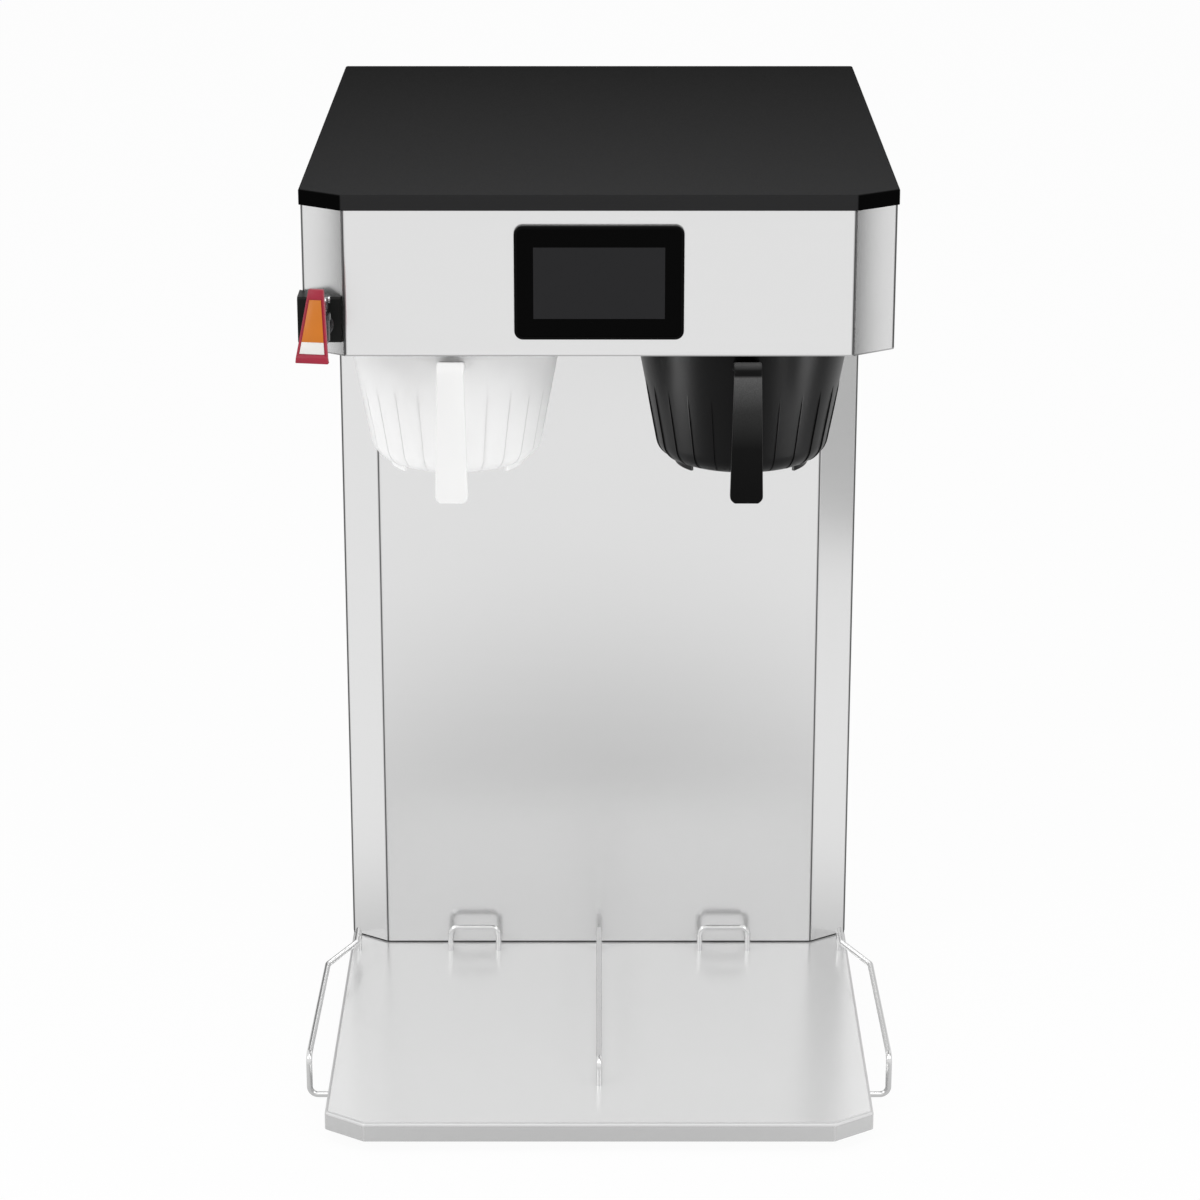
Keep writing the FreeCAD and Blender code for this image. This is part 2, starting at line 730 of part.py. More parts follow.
def make_funnel_bowl(x):
    """Brew funnel: a tapered bowl with outside ribs, feet, side runners and a central outlet."""
    outer = bowl_solid(0.0)
    skin = bowl_solid(RIB_HEIGHT, RIB_START).cut(bowl_solid(-BOWL_WALL / 2))
    ribs = []
    half = RIB_WIDTH / 2
    slab = box(-half, half, -2 * BOWL_TOP_R, -BOWL_LOW_R / 2, RIM_Z - 2 * BOWL_DEPTH, RIM_Z)
    for i in range(RIBS_PER_SIDE):
        for side in (-1, 1):
            turn = side * (RIB_FIRST + i * RIB_STEP)
            ribs.append(slab.rotated(vec(0, 0, 0), UP, turn).common(skin))
    low = RIM_Z - BOWL_DEPTH
    foot_in = FUNNEL_FOOT_R - FUNNEL_FOOT_WALL
    foot_face = side_face(
        [(-foot_in, low - FUNNEL_FOOT_DROP), (-FUNNEL_FOOT_R, low - FUNNEL_FOOT_DROP)]
        + [(-FUNNEL_FOOT_R, low + BOWL_CORNER / 2), (-foot_in, low + BOWL_CORNER / 2)],
        0,
    )
    first, last = FUNNEL_FOOT_ANGLES
    feet = []
    for turn in (first, 180 - last, -last, first - 180):
        foot = foot_face.revolve(vec(0, 0, 0), UP, last - first)
        foot.rotate(vec(0, 0, 0), UP, turn)
        feet.append(foot)
    runner = box(0, RUNNER_REACH, -RUNNER_LENGTH / 2, RUNNER_LENGTH / 2, RIM_Z - RUNNER_SHEET, RIM_Z)
    outlet = cylinder(OUTLET_R, vec(0, 0, low - OUTLET_DROP), vec(0, 0, low + BOWL_WALL))
    body = outer.multiFuse(ribs + feet + [runner, mirrored(runner), outlet])
    bore = cylinder(OUTLET_BORE, vec(0, 0, low - OUTLET_DROP), vec(0, 0, RIM_Z))
    body = body.cut([bowl_solid(-BOWL_WALL), prism(Part.Face(Part.Wire(rim_circle())), BOWL_WALL), bore])
    return body.translated(vec(x, FUNNEL_Y, 0))


def rim_circle():
    """Mouth of the bowl at its rim."""
    slope = math.atan2(BOWL_TOP_R - BOWL_LOW_R, BOWL_DEPTH)
    return Part.makeCircle(BOWL_TOP_R - BOWL_WALL / math.cos(slope), vec(0, 0, RIM_Z - BOWL_WALL / 2))


def cross_edges(shape, y, z):
    """Edges along X that pass through (y, z)."""
    return [
        e
        for e in shape.Edges
        if e.BoundBox.XLength > 1 and abs(e.CenterOfMass.y - y) < 1e-3 and abs(e.CenterOfMass.z - z) < 1e-3
    ]


def make_funnel_handle(x):
    """Paddle handle: an arm under the hood's front edge that turns down into a flared plate."""
    face = FRONT - HANDLE_LEAD
    back = face + HANDLE_PLATE
    low = RIM_Z - HANDLE_LENGTH
    under = RIM_Z - HANDLE_ARM
    outline = [(face, RIM_Z), (FUNNEL_Y, RIM_Z), (FUNNEL_Y, under), (back, under), (back, low), (face, low)]
    bar = side_face(outline, x - HANDLE_LOW_WIDTH).extrude(ALONG_X * 2 * HANDLE_LOW_WIDTH)
    bar = bar.makeFillet(HANDLE_BEND, cross_edges(bar, face, RIM_Z))
    bar = bar.makeFillet(HANDLE_INNER_BEND, cross_edges(bar, back, under))
    top = HANDLE_TOP_WIDTH / 2
    bottom = HANDLE_LOW_WIDTH / 2
    flare = front_face([(x - bottom, low), (x + bottom, low), (x + top, RIM_Z), (x - top, RIM_Z)], face)
    paddle = flare.extrude(ALONG_Y * (FUNNEL_Y - face))
    corners = [e for e in paddle.Edges if abs(e.BoundBox.ZMax - low) < 1e-4 and e.BoundBox.XLength < 1e-4]
    handle = bar.common(paddle.makeFillet(HANDLE_ROUND, corners))
    long_edges = [e for e in handle.Edges if e.BoundBox.ZLength > HANDLE_LENGTH / 2]
    front_rims = [e for e in long_edges if abs(e.BoundBox.YMin - face) < 1e-4]
    back_rims = [e for e in long_edges if abs(e.BoundBox.YMax - back) < 1e-4]
    handle = handle.makeFillet(HANDLE_EDGE, front_rims + back_rims)
    return handle.cut(bowl_solid(0.0).translated(vec(x, FUNNEL_Y, 0)))


def make_funnel_rails(x):
    """Pair of folded sheet rails under the hood floor that carry the funnel's runners."""
    web = RUNNER_REACH + RAIL_SIDE_GAP
    ledge = RIM_Z - RUNNER_SHEET - RAIL_GAP
    reach = web + RAIL_SHEET
    section = [
        (web - RAIL_LEDGE, ledge),
        (web - RAIL_LEDGE, ledge - RAIL_SHEET),
        (reach, ledge - RAIL_SHEET),
        (reach, FLOOR_Z - RAIL_SHEET),
        (reach + RAIL_FLANGE, FLOOR_Z - RAIL_SHEET),
        (reach + RAIL_FLANGE, FLOOR_Z),
        (web, FLOOR_Z),
        (web, ledge),
    ]
    rail = front_face(section, FRONT + RAIL_FRONT).extrude(ALONG_Y * RAIL_LENGTH)
    return [rail.translated(vec(x, 0, 0)), mirrored(rail).translated(vec(x, 0, 0))]


def make_spray_head(x):
    """Spray head: a pierced plate and a cone under the floor, a neck through it and a nut and barb above."""
    plate_top = SPRAY_Z + SPRAY_RIM
    nut_low = FLOOR_Z + SHEET
    nut_top = nut_low + SPRAY_NUT
    head = turned(
        [
            (BARB_BORE, SPRAY_Z),
            (SPRAY_R, SPRAY_Z),
            (SPRAY_R, plate_top),
            (SPRAY_NECK_R + SHEET, FLOOR_Z),
            (SPRAY_NECK_R, FLOOR_Z),
            (SPRAY_NECK_R, nut_low),
            (SPRAY_NUT_R, nut_low),
            (SPRAY_NUT_R, nut_top),
            (BARB_R, nut_top),
            (BARB_R, nut_top + BARB_LENGTH),
            (BARB_BORE, nut_top + BARB_LENGTH),
        ]
    )
    middle = Part.makeCylinder(SPRAY_NECK_R, SPRAY_PLATE, vec(0, 0, SPRAY_Z))
    cavity = Part.makeCylinder(SPRAY_R - SPRAY_PLATE, SPRAY_CAVITY, vec(0, 0, SPRAY_Z + SPRAY_PLATE))
    drill = Part.makeCylinder(SPRAY_HOLE_R, 3 * SPRAY_PLATE, vec(0, 0, SPRAY_Z - SPRAY_PLATE))
    holes = [drill]
    for radius, count in zip(SPRAY_RING_R, SPRAY_RING_HOLES):
        for i in range(count):
            turn = 2 * math.pi * i / count
            holes.append(drill.translated(vec(radius * math.cos(turn), radius * math.sin(turn), 0)))
    return head.fuse(middle).cut([cavity] + holes).translated(vec(x, FUNNEL_Y, 0))


def make_brew_tube(x):
    barb_low = FLOOR_Z + SHEET + SPRAY_NUT
    points = [vec(x, VALVE_FRONT, VALVE_Z), vec(x, FUNNEL_Y, VALVE_Z), vec(x, FUNNEL_Y, barb_low)]
    return tube(points, TUBE_R, BARB_R + FIT, TUBE_BEND)


def make_brew_valve(x):
    """Solenoid valve on the tank's front: a block with a stub, an outlet barb and a coil on top."""
    half = VALVE_BLOCK / 2
    back = TANK_FRONT - VALVE_STUB_R
    block = box(x - half, x + half, VALVE_FRONT, back, VALVE_Z - half, VALVE_Z + half)
    block = block.makeFillet(half / 4, [e for e in block.Edges if e.BoundBox.ZLength > half])
    middle = (VALVE_FRONT + back) / 2
    coil = cylinder(COIL_R, vec(x, middle, VALVE_Z + half), vec(x, middle, VALVE_Z + half + COIL_HEIGHT))
    stub = cylinder(VALVE_STUB_R, vec(x, back, VALVE_Z), vec(x, TANK_FRONT, VALVE_Z))
    barb = cylinder(BARB_R, vec(x, VALVE_FRONT - BARB_LENGTH, VALVE_Z), vec(x, VALVE_FRONT, VALVE_Z))
    return block.multiFuse([coil, stub, barb])


def tank_plan(grow, z):
    half = TANK_WIDTH / 2
    corners = [(-half, TANK_FRONT), (half, TANK_FRONT), (half, TANK_BACK), (-half, TANK_BACK)]
    return soften(plan_face(corners, z), TANK_CORNER).makeOffset2D(grow)


def tank_floor_hole():
    """Cutter for the inlet tube through the tank's floor and its shelf."""
    y = (TANK_FRONT + TANK_BACK) / 2
    low = vec(INLET_X, y, TANK_Z - 2 * STAND_SHEET)
    return cylinder(TUBE_R + FIT, low, vec(INLET_X, y, TANK_Z))


def make_water_tank():
    shell = prism(tank_plan(0.0, TANK_Z), TANK_HEIGHT)
    lip = prism(tank_plan(TANK_FLANGE, TANK_TOP - TANK_LIP), TANK_LIP)
    inside = prism(tank_plan(-TANK_WALL, TANK_Z + TANK_WALL), TANK_HEIGHT)
    return shell.fuse(lip).cut(inside).removeSplitter()


def make_tank_gasket():
    whole = prism(tank_plan(TANK_FLANGE, TANK_TOP), GASKET)
    return whole.cut(prism(tank_plan(-TANK_WALL, TANK_TOP), GASKET))


def element_places():
    """(x, y) of the first leg of each heating element."""
    middle = (TANK_FRONT + TANK_BACK) / 2
    return [(-ELEMENT_SPAN / 2, middle + side * ELEMENT_PITCH / 2) for side in (-1, 1)]


def probe_place(side):
    return vec(side * PROBE_X, (TANK_FRONT + TANK_BACK) / 2, COVER_TOP)


def make_tank_cover():
    plate = prism(tank_plan(TANK_FLANGE, TANK_TOP + GASKET), TANK_COVER)
    below = TANK_TOP
    holes = []
    for x, y in element_places():
        for leg in (x, x + ELEMENT_SPAN):
            holes.append(cylinder(ELEMENT_R + FIT, vec(leg, y, below), vec(leg, y, COVER_TOP)))
    for side in (-1, 1):
        spot = probe_place(side)
        holes.append(cylinder(PROBE_R + FIT, vec(spot.x, spot.y, below), spot))
    return plate.cut(holes)


def make_heating_elements():
    low = TANK_Z + ELEMENT_CLEAR
    top = COVER_TOP + COLLAR
    elements = []
    for x, y in element_places():
        end = x + ELEMENT_SPAN
        bar = rod([vec(x, y, top), vec(x, y, low), vec(end, y, low), vec(end, y, top)], ELEMENT_R, TUBE_BEND)
        collars = [cylinder(COLLAR_R, vec(leg, y, COVER_TOP), vec(leg, y, top)) for leg in (x, end)]
        elements.append(bar.multiFuse(collars))
    return elements


def make_probe(side, length):
    spot = probe_place(side)
    stem = cylinder(PROBE_R, spot - UP * length, spot)
    return stem.fuse(hexagon(COLLAR_R, spot, spot + UP * COLLAR))


def make_tank_stand():
    """Folded shelf on two legs that carries the tank from the base tray."""
    half = TANK_WIDTH / 2
    leg = half - STAND_SHEET
    section = [
        (-half, TRAY_TOP),
        (-half, TANK_Z),
        (half, TANK_Z),
        (half, TRAY_TOP),
        (leg, TRAY_TOP),
        (leg, TANK_Z - STAND_SHEET),
        (-leg, TANK_Z - STAND_SHEET),
        (-leg, TRAY_TOP),
    ]
    shelf = front_face(section, TANK_FRONT).extrude(ALONG_Y * (TANK_BACK - TANK_FRONT))
    return shelf.cut(tank_floor_hole())


def make_inlet_fitting():
    hex_end = vec(INLET_X, INLET_FACE + INLET_HEX, INLET_Z)
    face = vec(INLET_X, INLET_FACE, INLET_Z)
    inner = vec(INLET_X, VALVE_BACK, INLET_Z)
    tip = vec(INLET_X, BACK + REAR_REACH, INLET_Z)
    parts = [cylinder(INLET_R, hex_end, tip), cylinder(INLET_SHANK_R, inner, face)]
    return hexagon(INLET_HEX_R, face, hex_end).multiFuse(parts).cut(cylinder(INLET_BORE, inner, tip))


def make_inlet_valve():
    half = INLET_BLOCK / 2
    block = Part.makeBox(INLET_BLOCK, INLET_BLOCK, INLET_BLOCK)
    block.translate(vec(INLET_X - half, VALVE_BACK - INLET_BLOCK, INLET_Z - half))
    block = block.makeFillet(half / 4, [e for e in block.Edges if e.BoundBox.YLength > half])
    coil_low = vec(INLET_X, VALVE_BACK - half, INLET_Z + half)
    coil = cylinder(COIL_R, coil_low, coil_low + UP * COIL_HEIGHT)
    front = vec(INLET_X, VALVE_BACK - INLET_BLOCK, INLET_Z)
    return block.multiFuse([coil, cylinder(BARB_R, front - ALONG_Y * BARB_LENGTH, front)])


def make_inlet_tube():
    y = (TANK_FRONT + TANK_BACK) / 2
    start = vec(INLET_X, VALVE_BACK - INLET_BLOCK, INLET_Z)
    return tube([start, vec(INLET_X, y, INLET_Z), vec(INLET_X, y, TANK_Z)], TUBE_R, BARB_R + FIT, TUBE_BEND)


def make_cable_gland():
    """Bushing in the rear cover for the supply cable: a flange, a domed cap and a threaded tail."""
    outside = BODY_BACK + SHEET
    flange = hexagon(GLAND_R, vec(GLAND_X, outside, INLET_Z), vec(GLAND_X, outside + GLAND_FLANGE, INLET_Z))
    end = outside + GLAND_REACH
    shoulder = vec(GLAND_X, outside + GLAND_FLANGE, INLET_Z)
    cap = Part.makeCone(GLAND_NECK_R + SHEET, GLAND_NECK_R, GLAND_REACH - GLAND_FLANGE, shoulder, ALONG_Y)
    start = vec(GLAND_X, BODY_BACK - GLAND_TAIL, INLET_Z)
    tail = cylinder(GLAND_NECK_R, start, vec(GLAND_X, outside, INLET_Z))
    return flange.multiFuse([cap, tail]).cut(cylinder(GLAND_BORE, start, vec(GLAND_X, end, INLET_Z)))


def switch_block(half_width, half_height, y0, y1):
    """Upright block centred on the power switch."""
    return box(
        SWITCH_X - half_width, SWITCH_X + half_width, y0, y1, INLET_Z - half_height, INLET_Z + half_height
    )


def make_switch_housing():
    outside = BODY_BACK + SHEET
    wide = SWITCH_WIDTH / 2
    tall = SWITCH_HEIGHT / 2
    body = switch_block(wide, tall, outside - SWITCH_BODY, outside)
    frame = switch_block(wide + SWITCH_FRAME, tall + SWITCH_FRAME, outside, outside + SWITCH_PROUD)
    floor = outside - ROCKER_BACK - ROCKER_GAP - SWITCH_FRAME
    well = switch_block(wide - SWITCH_FRAME, tall - SWITCH_FRAME, floor, outside + SWITCH_PROUD)
    axle = cylinder(PIVOT_R, vec(SWITCH_X - wide, outside, INLET_Z), vec(SWITCH_X + wide, outside, INLET_Z))
    return body.fuse(frame).cut(well).fuse(axle)


def make_power_rocker():
    """Rocker with two facets, tipped to one side about its axle."""
    outside = BODY_BACK + SHEET
    wide = SWITCH_WIDTH / 2 - SWITCH_FRAME - ROCKER_GAP
    tall = SWITCH_HEIGHT / 2 - SWITCH_FRAME - 2 * ROCKER_GAP
    tip = ROCKER_PROUD + SWITCH_PROUD
    section = [(tip - ROCKER_PROUD / 2, 0), (tip, tall), (-PIVOT_R, tall), (-ROCKER_BACK, tall / 2)]
    outline = section + [(y, -z) for y, z in section[:0:-1]]
    face = side_face([(outside + y, INLET_Z + z) for y, z in outline], SWITCH_X - wide)
    rocker = face.extrude(ALONG_X * 2 * wide)
    hub = vec(SWITCH_X, outside, INLET_Z)
    bore = cylinder(PIVOT_R + RUNNING_FIT, hub - ALONG_X * SWITCH_WIDTH, hub + ALONG_X * SWITCH_WIDTH)
    rocker = rocker.cut(bore)
    rocker.rotate(hub, ALONG_X, ROCKER_TILT)
    return rocker


def make_power_supply():
    """Supply module on the tray inside the trunk: an extruded profile with cooling fins on top."""
    length, depth, height = SUPPLY_SIZE
    half = length / 2
    top = TRAY_TOP + height
    root = top - FIN_HEIGHT
    step = (length - FIN_SHEET) / (SUPPLY_FINS - 1)
    outline = [(half, TRAY_TOP), (-half, TRAY_TOP)]
    for i in range(SUPPLY_FINS):
        left = i * step - half
        right = left + FIN_SHEET
        outline += [(left, root), (left, top), (right, top), (right, root)]
    start = (TANK_FRONT + TANK_BACK - depth) / 2
    return front_face(outline[:2] + outline[3:-1], start).extrude(ALONG_Y * depth)


def make_terminal_block():
    """Barrier strip beside the cable's entry: a stepped bar with a row of walled ways."""
    length, depth, height = TERMINAL_SIZE
    x = GLAND_X + TERMINAL_SIZE[0]
    back = TANK_BACK - SWITCH_BODY
    front = back - depth
    top = TRAY_TOP + height
    bar = box(x - length / 2, x + length / 2, front, back, TRAY_TOP, top)
    pitch = (length - TERMINAL_WALL) / TERMINAL_WAYS
    ways = []
    for i in range(TERMINAL_WAYS):
        left = x - length / 2 + TERMINAL_WALL + i * pitch
        right = left + pitch - TERMINAL_WALL
        for y in (front, back - TERMINAL_STEP):
            ways.append(box(left, right, y, y + TERMINAL_STEP, top - TERMINAL_STEP, top))
    return bar.cut(ways)


def board_spot():
    """Lowest corner of the control board over the hood floor."""
    return vec(-BOARD_SIZE[0] / 2, HOOD_FRONT + BOARD_SETBACK, FLOOR_Z + SHEET + STANDOFF)


def make_control_board():
    length, depth = BOARD_SIZE
    spot = board_spot()
    plate = Part.makeBox(length, depth, BOARD_SHEET, spot)
    top = spot.z + BOARD_SHEET
    inset = (length - HEADER_SIZE[0]) / 2
    header = Part.makeBox(*HEADER_SIZE, spot + vec(inset, HEADER_INSET, BOARD_SHEET))
    pitch = length / (RELAYS + 1)
    relays = []
    for i in range(RELAYS):
        left = spot.x + (i + 1) * pitch - RELAY_SIZE[0] / 2
        relays.append(Part.makeBox(*RELAY_SIZE, vec(left, spot.y + depth / 2, top)))
    return plate.multiFuse([header] + relays)


def make_board_standoffs():
    spot = board_spot()
    length, depth = BOARD_SIZE
    return [
        cylinder(STANDOFF_R, vec(x, y, FLOOR_Z + SHEET), vec(x, y, spot.z))
        for x in (spot.x + STANDOFF_INSET, spot.x + length - STANDOFF_INSET)
        for y in (spot.y + STANDOFF_INSET, spot.y + depth - STANDOFF_INSET)
    ]


def corner_line(x, offset):
    """Place along Y of the hood's left corner face at x, moved back by an offset."""
    return HOOD_FRONT + (CORNER_X - HALF - x) * CORNER_Y / CORNER_X + offset


def make_faucet_block():
    """Block that fills the hood's cut corner, so that the faucet faces the front."""
    left = -HALF - BLOCK_SIDE
    right = CORNER_X - HALF - BLOCK_TAPER_END
    outline = plan_face(
        [
            (left, BLOCK_FRONT),
            (right, BLOCK_FRONT),
            (right, corner_line(right, 0)),
            (left, corner_line(left, 0)),
        ],
        SHANK_Z - BLOCK_BELOW,
    )
    block = prism(outline, BLOCK_BELOW + BLOCK_ABOVE)
    front_edges = [e for e in block.Edges if abs(e.BoundBox.YMax - BLOCK_FRONT) < 1e-4]
    level = [e for e in front_edges if e.BoundBox.ZLength < 1e-4]
    return block.makeFillet(BLOCK_EDGE, level).cut(shank_hole())


def make_faucet_wedge():
    """Wedge inside the hood's corner that squares the nut to the shank."""
    wide = NUT_R + SHEET
    left, right = FAUCET_X - wide + SHEET, FAUCET_X + wide
    behind = SHEET * math.hypot(CORNER_X, CORNER_Y) / CORNER_X
    back = corner_line(left, behind) + SHEET
    outline = plan_face(
        [
            (left, corner_line(left, behind)),
            (right, corner_line(right, behind)),
            (right, back),
            (left, back),
        ],
        SHANK_Z - NUT_R,
    )
    return prism(outline, 2 * NUT_R).cut(shank_hole())


def make_faucet_nut():
    face = corner_line(FAUCET_X - NUT_R, SHEET * math.hypot(CORNER_X, CORNER_Y) / CORNER_X) + SHEET + NUT_GAP
    start = vec(FAUCET_X, face, SHANK_Z)
    return hexagon(NUT_R, start, start + ALONG_Y * NUT).cut(shank_hole())


def make_faucet_body():
    """Valve body: a shank through the hood's corner, a collar, an upright chamber and a spout."""
    axis = vec(FAUCET_X, FAUCET_Y, SHANK_Z)
    end = shank_end()
    collar_face = vec(FAUCET_X, BLOCK_FRONT, SHANK_Z)
    throat = SHANK_Z - BODY_BELOW
    spout_low = throat - SPOUT_DROP
    chamber = turned(
        [
            (0, spout_low),
            (SPOUT_R, spout_low),
            (SPOUT_R, throat - SPOUT_TAPER),
            (BODY_R, throat),
            (BODY_R, BODY_TOP),
            (0, BODY_TOP),
        ],
        FAUCET_X,
        FAUCET_Y,
    )
    shank = cylinder(SHANK_R, axis, end)
    collar = cylinder(COLLAR_PLATE_R, collar_face - ALONG_Y * COLLAR_PLATE, collar_face)
    hollow = cylinder(CHAMBER_R, vec(FAUCET_X, FAUCET_Y, SEAT_Z), vec(FAUCET_X, FAUCET_Y, BODY_TOP))
    outlet = cylinder(WATER_BORE, vec(FAUCET_X, FAUCET_Y, spout_low), vec(FAUCET_X, FAUCET_Y, SEAT_Z))
    return chamber.multiFuse([shank, collar]).cut([hollow, outlet, cylinder(WATER_BORE, axis, end)])


def make_faucet_bonnet():
    """Cap on the valve body, with two ears at the back for the lever's pivot."""
    top = BODY_TOP + BONNET
    cap = cylinder(BONNET_R, vec(FAUCET_X, FAUCET_Y, BODY_TOP), vec(FAUCET_X, FAUCET_Y, top))
    ear_in = ARM_HALF_WIDTH + ARM_SIDE_GAP
    ear_out = ear_in + EAR_SHEET
    back = PIVOT_Y + EAR_HALF
    shelf = box(FAUCET_X - ear_out, FAUCET_X + ear_out, FAUCET_Y, back, BODY_TOP, top)
    ears = []
    for x in (FAUCET_X - ear_out, FAUCET_X + ear_in):
        post = box(x, x + EAR_SHEET, PIVOT_Y - EAR_HALF, back, top, PIVOT_Z)
        crown = cylinder(EAR_HALF, vec(x, PIVOT_Y, PIVOT_Z), vec(x + EAR_SHEET, PIVOT_Y, PIVOT_Z))
        ears.append(post.fuse(crown))
    left = vec(FAUCET_X - ear_out, PIVOT_Y, PIVOT_Z)
    pin = cylinder(PIVOT_R + PIN_FIT, left, left + ALONG_X * 2 * ear_out)
    stem = cylinder(STEM_R + STEM_FIT, vec(FAUCET_X, FAUCET_Y, BODY_TOP), vec(FAUCET_X, FAUCET_Y, top))
    return cap.multiFuse([shelf] + ears).cut([pin, stem]).removeSplitter()


def make_pivot_pin():
    reach = ARM_HALF_WIDTH + ARM_SIDE_GAP + EAR_SHEET
    left = vec(FAUCET_X - reach, PIVOT_Y, PIVOT_Z)
    right = vec(FAUCET_X + reach, PIVOT_Y, PIVOT_Z)
    heads = [
        cylinder(PIVOT_HEAD_R, left - ALONG_X * PIVOT_HEAD, left),
        cylinder(PIVOT_HEAD_R, right, right + ALONG_X * PIVOT_HEAD),
    ]
    return cylinder(PIVOT_R, left, right).multiFuse(heads)


def yawed(shape):
    """Turn the lever's plate a little towards the left, about the upright line through its top edge."""
    return shape.rotated(vec(FAUCET_X, FAUCET_Y - LEVER_FACE_LEAD, 0), UP, -LEVER_YAW)


def lever_face():
    """Front line of the lever's plate seen from the side: top, foot of the slope and lip, as (y, z)."""
    low_y = FAUCET_Y - LEVER_LIP_LEAD
    low_z = PIVOT_Z - LEVER_DROP
    return [(FAUCET_Y - LEVER_FACE_LEAD, PIVOT_Z + LEVER_RISE), (low_y, low_z + LEVER_LIP), (low_y, low_z)]


def plate_middle(z):
    """Place along Y of the middle of the lever's sloping plate at height z."""
    (top_y, top_z), (foot_y, foot_z) = lever_face()[:2]
    return foot_y + (top_y - foot_y) * (z - foot_z) / (top_z - foot_z) + LEVER_PLATE / 2


def lever_flare(margin, drop_top, drop_low, depth):
    """Tapered cutter seen from the front, between two drops below the lever's top edge."""
    top_z = PIVOT_Z + LEVER_RISE
    high = LEVER_TOP_WIDTH / 2 + LEVER_SPREAD * drop_top - margin
    wide = LEVER_TOP_WIDTH / 2 + LEVER_SPREAD * drop_low - margin
    outline = [
        (FAUCET_X - wide, top_z - drop_low),
        (FAUCET_X + wide, top_z - drop_low),
        (FAUCET_X + high, top_z - drop_top),
        (FAUCET_X - high, top_z - drop_top),
    ]
    return front_face(outline, FAUCET_Y - LEVER_LIP_LEAD).extrude(ALONG_Y * depth)


def lever_strip(depth):
    """Face of the lever's plate seen from the side, from its front line back to a depth."""
    face = lever_face()
    return side_face(face + [(y + depth, z) for y, z in reversed(face)], FAUCET_X - LEVER_LOW_WIDTH)


def make_lever_field(drop_top, drop_low):
    """Thin coloured field let into the lever's front face."""
    strip = lever_strip(LABEL_SHEET).extrude(ALONG_X * 2 * LEVER_LOW_WIDTH)
    return yawed(strip.common(lever_flare(LABEL_MARGIN, drop_top, drop_low, LEVER_LIP_LEAD)))


def make_faucet_lever():
    """Lever: an arm on the pivot that passes over the stem and carries a flared plate in front."""
    whole = LEVER_RISE + LEVER_DROP
    plate = soften(lever_strip(LEVER_PLATE), LEVER_ROUND).extrude(ALONG_X * 2 * LEVER_LOW_WIDTH)
    plate = yawed(plate.common(lever_flare(0.0, 0.0, whole, LEVER_LIP_LEAD)))
    arm_back = PIVOT_Y + ARM_TAIL
    low = PIVOT_Z - ARM_HALF_HEIGHT
    top = PIVOT_Z + ARM_HALF_HEIGHT
    outline = [(plate_middle(low), low), (arm_back, low), (arm_back, top), (plate_middle(top), top)]
    arm = side_face(outline, FAUCET_X - ARM_HALF_WIDTH).extrude(ALONG_X * 2 * ARM_HALF_WIDTH)
    tail_edges = cross_edges(arm, arm_back, low) + cross_edges(arm, arm_back, top)
    arm = arm.makeFillet(ARM_HALF_HEIGHT / 2, tail_edges)
    across = ALONG_X * LEVER_LOW_WIDTH
    hub = vec(FAUCET_X, PIVOT_Y, PIVOT_Z)
    bore = cylinder(PIVOT_R + RUNNING_FIT, hub - across, hub + across)
    reach = PIVOT_BACK / math.cos(math.radians(LEVER_TILT)) - PIVOT_BACK
    tall = CROSS_PIN_R + SLOT_SLACK
    slot = Part.makeBox(4 * ARM_HALF_WIDTH, reach + 2 * tall, 2 * tall)
    slot.translate(vec(FAUCET_X - 2 * ARM_HALF_WIDTH, FAUCET_Y - reach - tall, PIVOT_Z - tall))
    fields = [make_lever_field(BAND_TOP, TAG_TOP), make_lever_field(TAG_TOP, TAG_LOW)]
    return plate.fuse(arm).cut([bore, slot] + fields)


def make_faucet_stem():
    """Stem with a forked head whose cross pin rides in the lever's slot."""
    ear_in = ARM_HALF_WIDTH + ARM_SIDE_GAP
    ear_out = ear_in + CLEVIS_SHEET
    seat = PIVOT_Z - CLEVIS_SEAT
    base = box(
        FAUCET_X - ear_out,
        FAUCET_X + ear_out,
        FAUCET_Y - CLEVIS_HALF,
        FAUCET_Y + CLEVIS_HALF,
        seat - CLEVIS_BASE,
        seat,
    )
    parts = []
    for x in (FAUCET_X - ear_out, FAUCET_X + ear_in):
        post = box(x, x + CLEVIS_SHEET, FAUCET_Y - CLEVIS_HALF, FAUCET_Y + CLEVIS_HALF, seat, PIVOT_Z)
        crown = cylinder(CLEVIS_HALF, vec(x, FAUCET_Y, PIVOT_Z), vec(x + CLEVIS_SHEET, FAUCET_Y, PIVOT_Z))
        parts.append(post.fuse(crown))
    left = vec(FAUCET_X - ear_out, FAUCET_Y, PIVOT_Z)
    parts.append(cylinder(CROSS_PIN_R, left, left + ALONG_X * 2 * ear_out))
    foot = vec(FAUCET_X, FAUCET_Y, CUP_Z + CUP_HEIGHT)
    parts.append(cylinder(STEM_R, foot, vec(FAUCET_X, FAUCET_Y, seat - CLEVIS_BASE)))
    return base.multiFuse(parts).removeSplitter()


def make_seat_cup():
    top = CUP_Z + CUP_HEIGHT
    nose = CUP_Z + CUP_R - CUP_NOSE_R
    outline = [(0, CUP_Z), (CUP_NOSE_R, CUP_Z), (CUP_R, nose), (CUP_R, top), (0, top)]
    return turned(outline, FAUCET_X, FAUCET_Y)


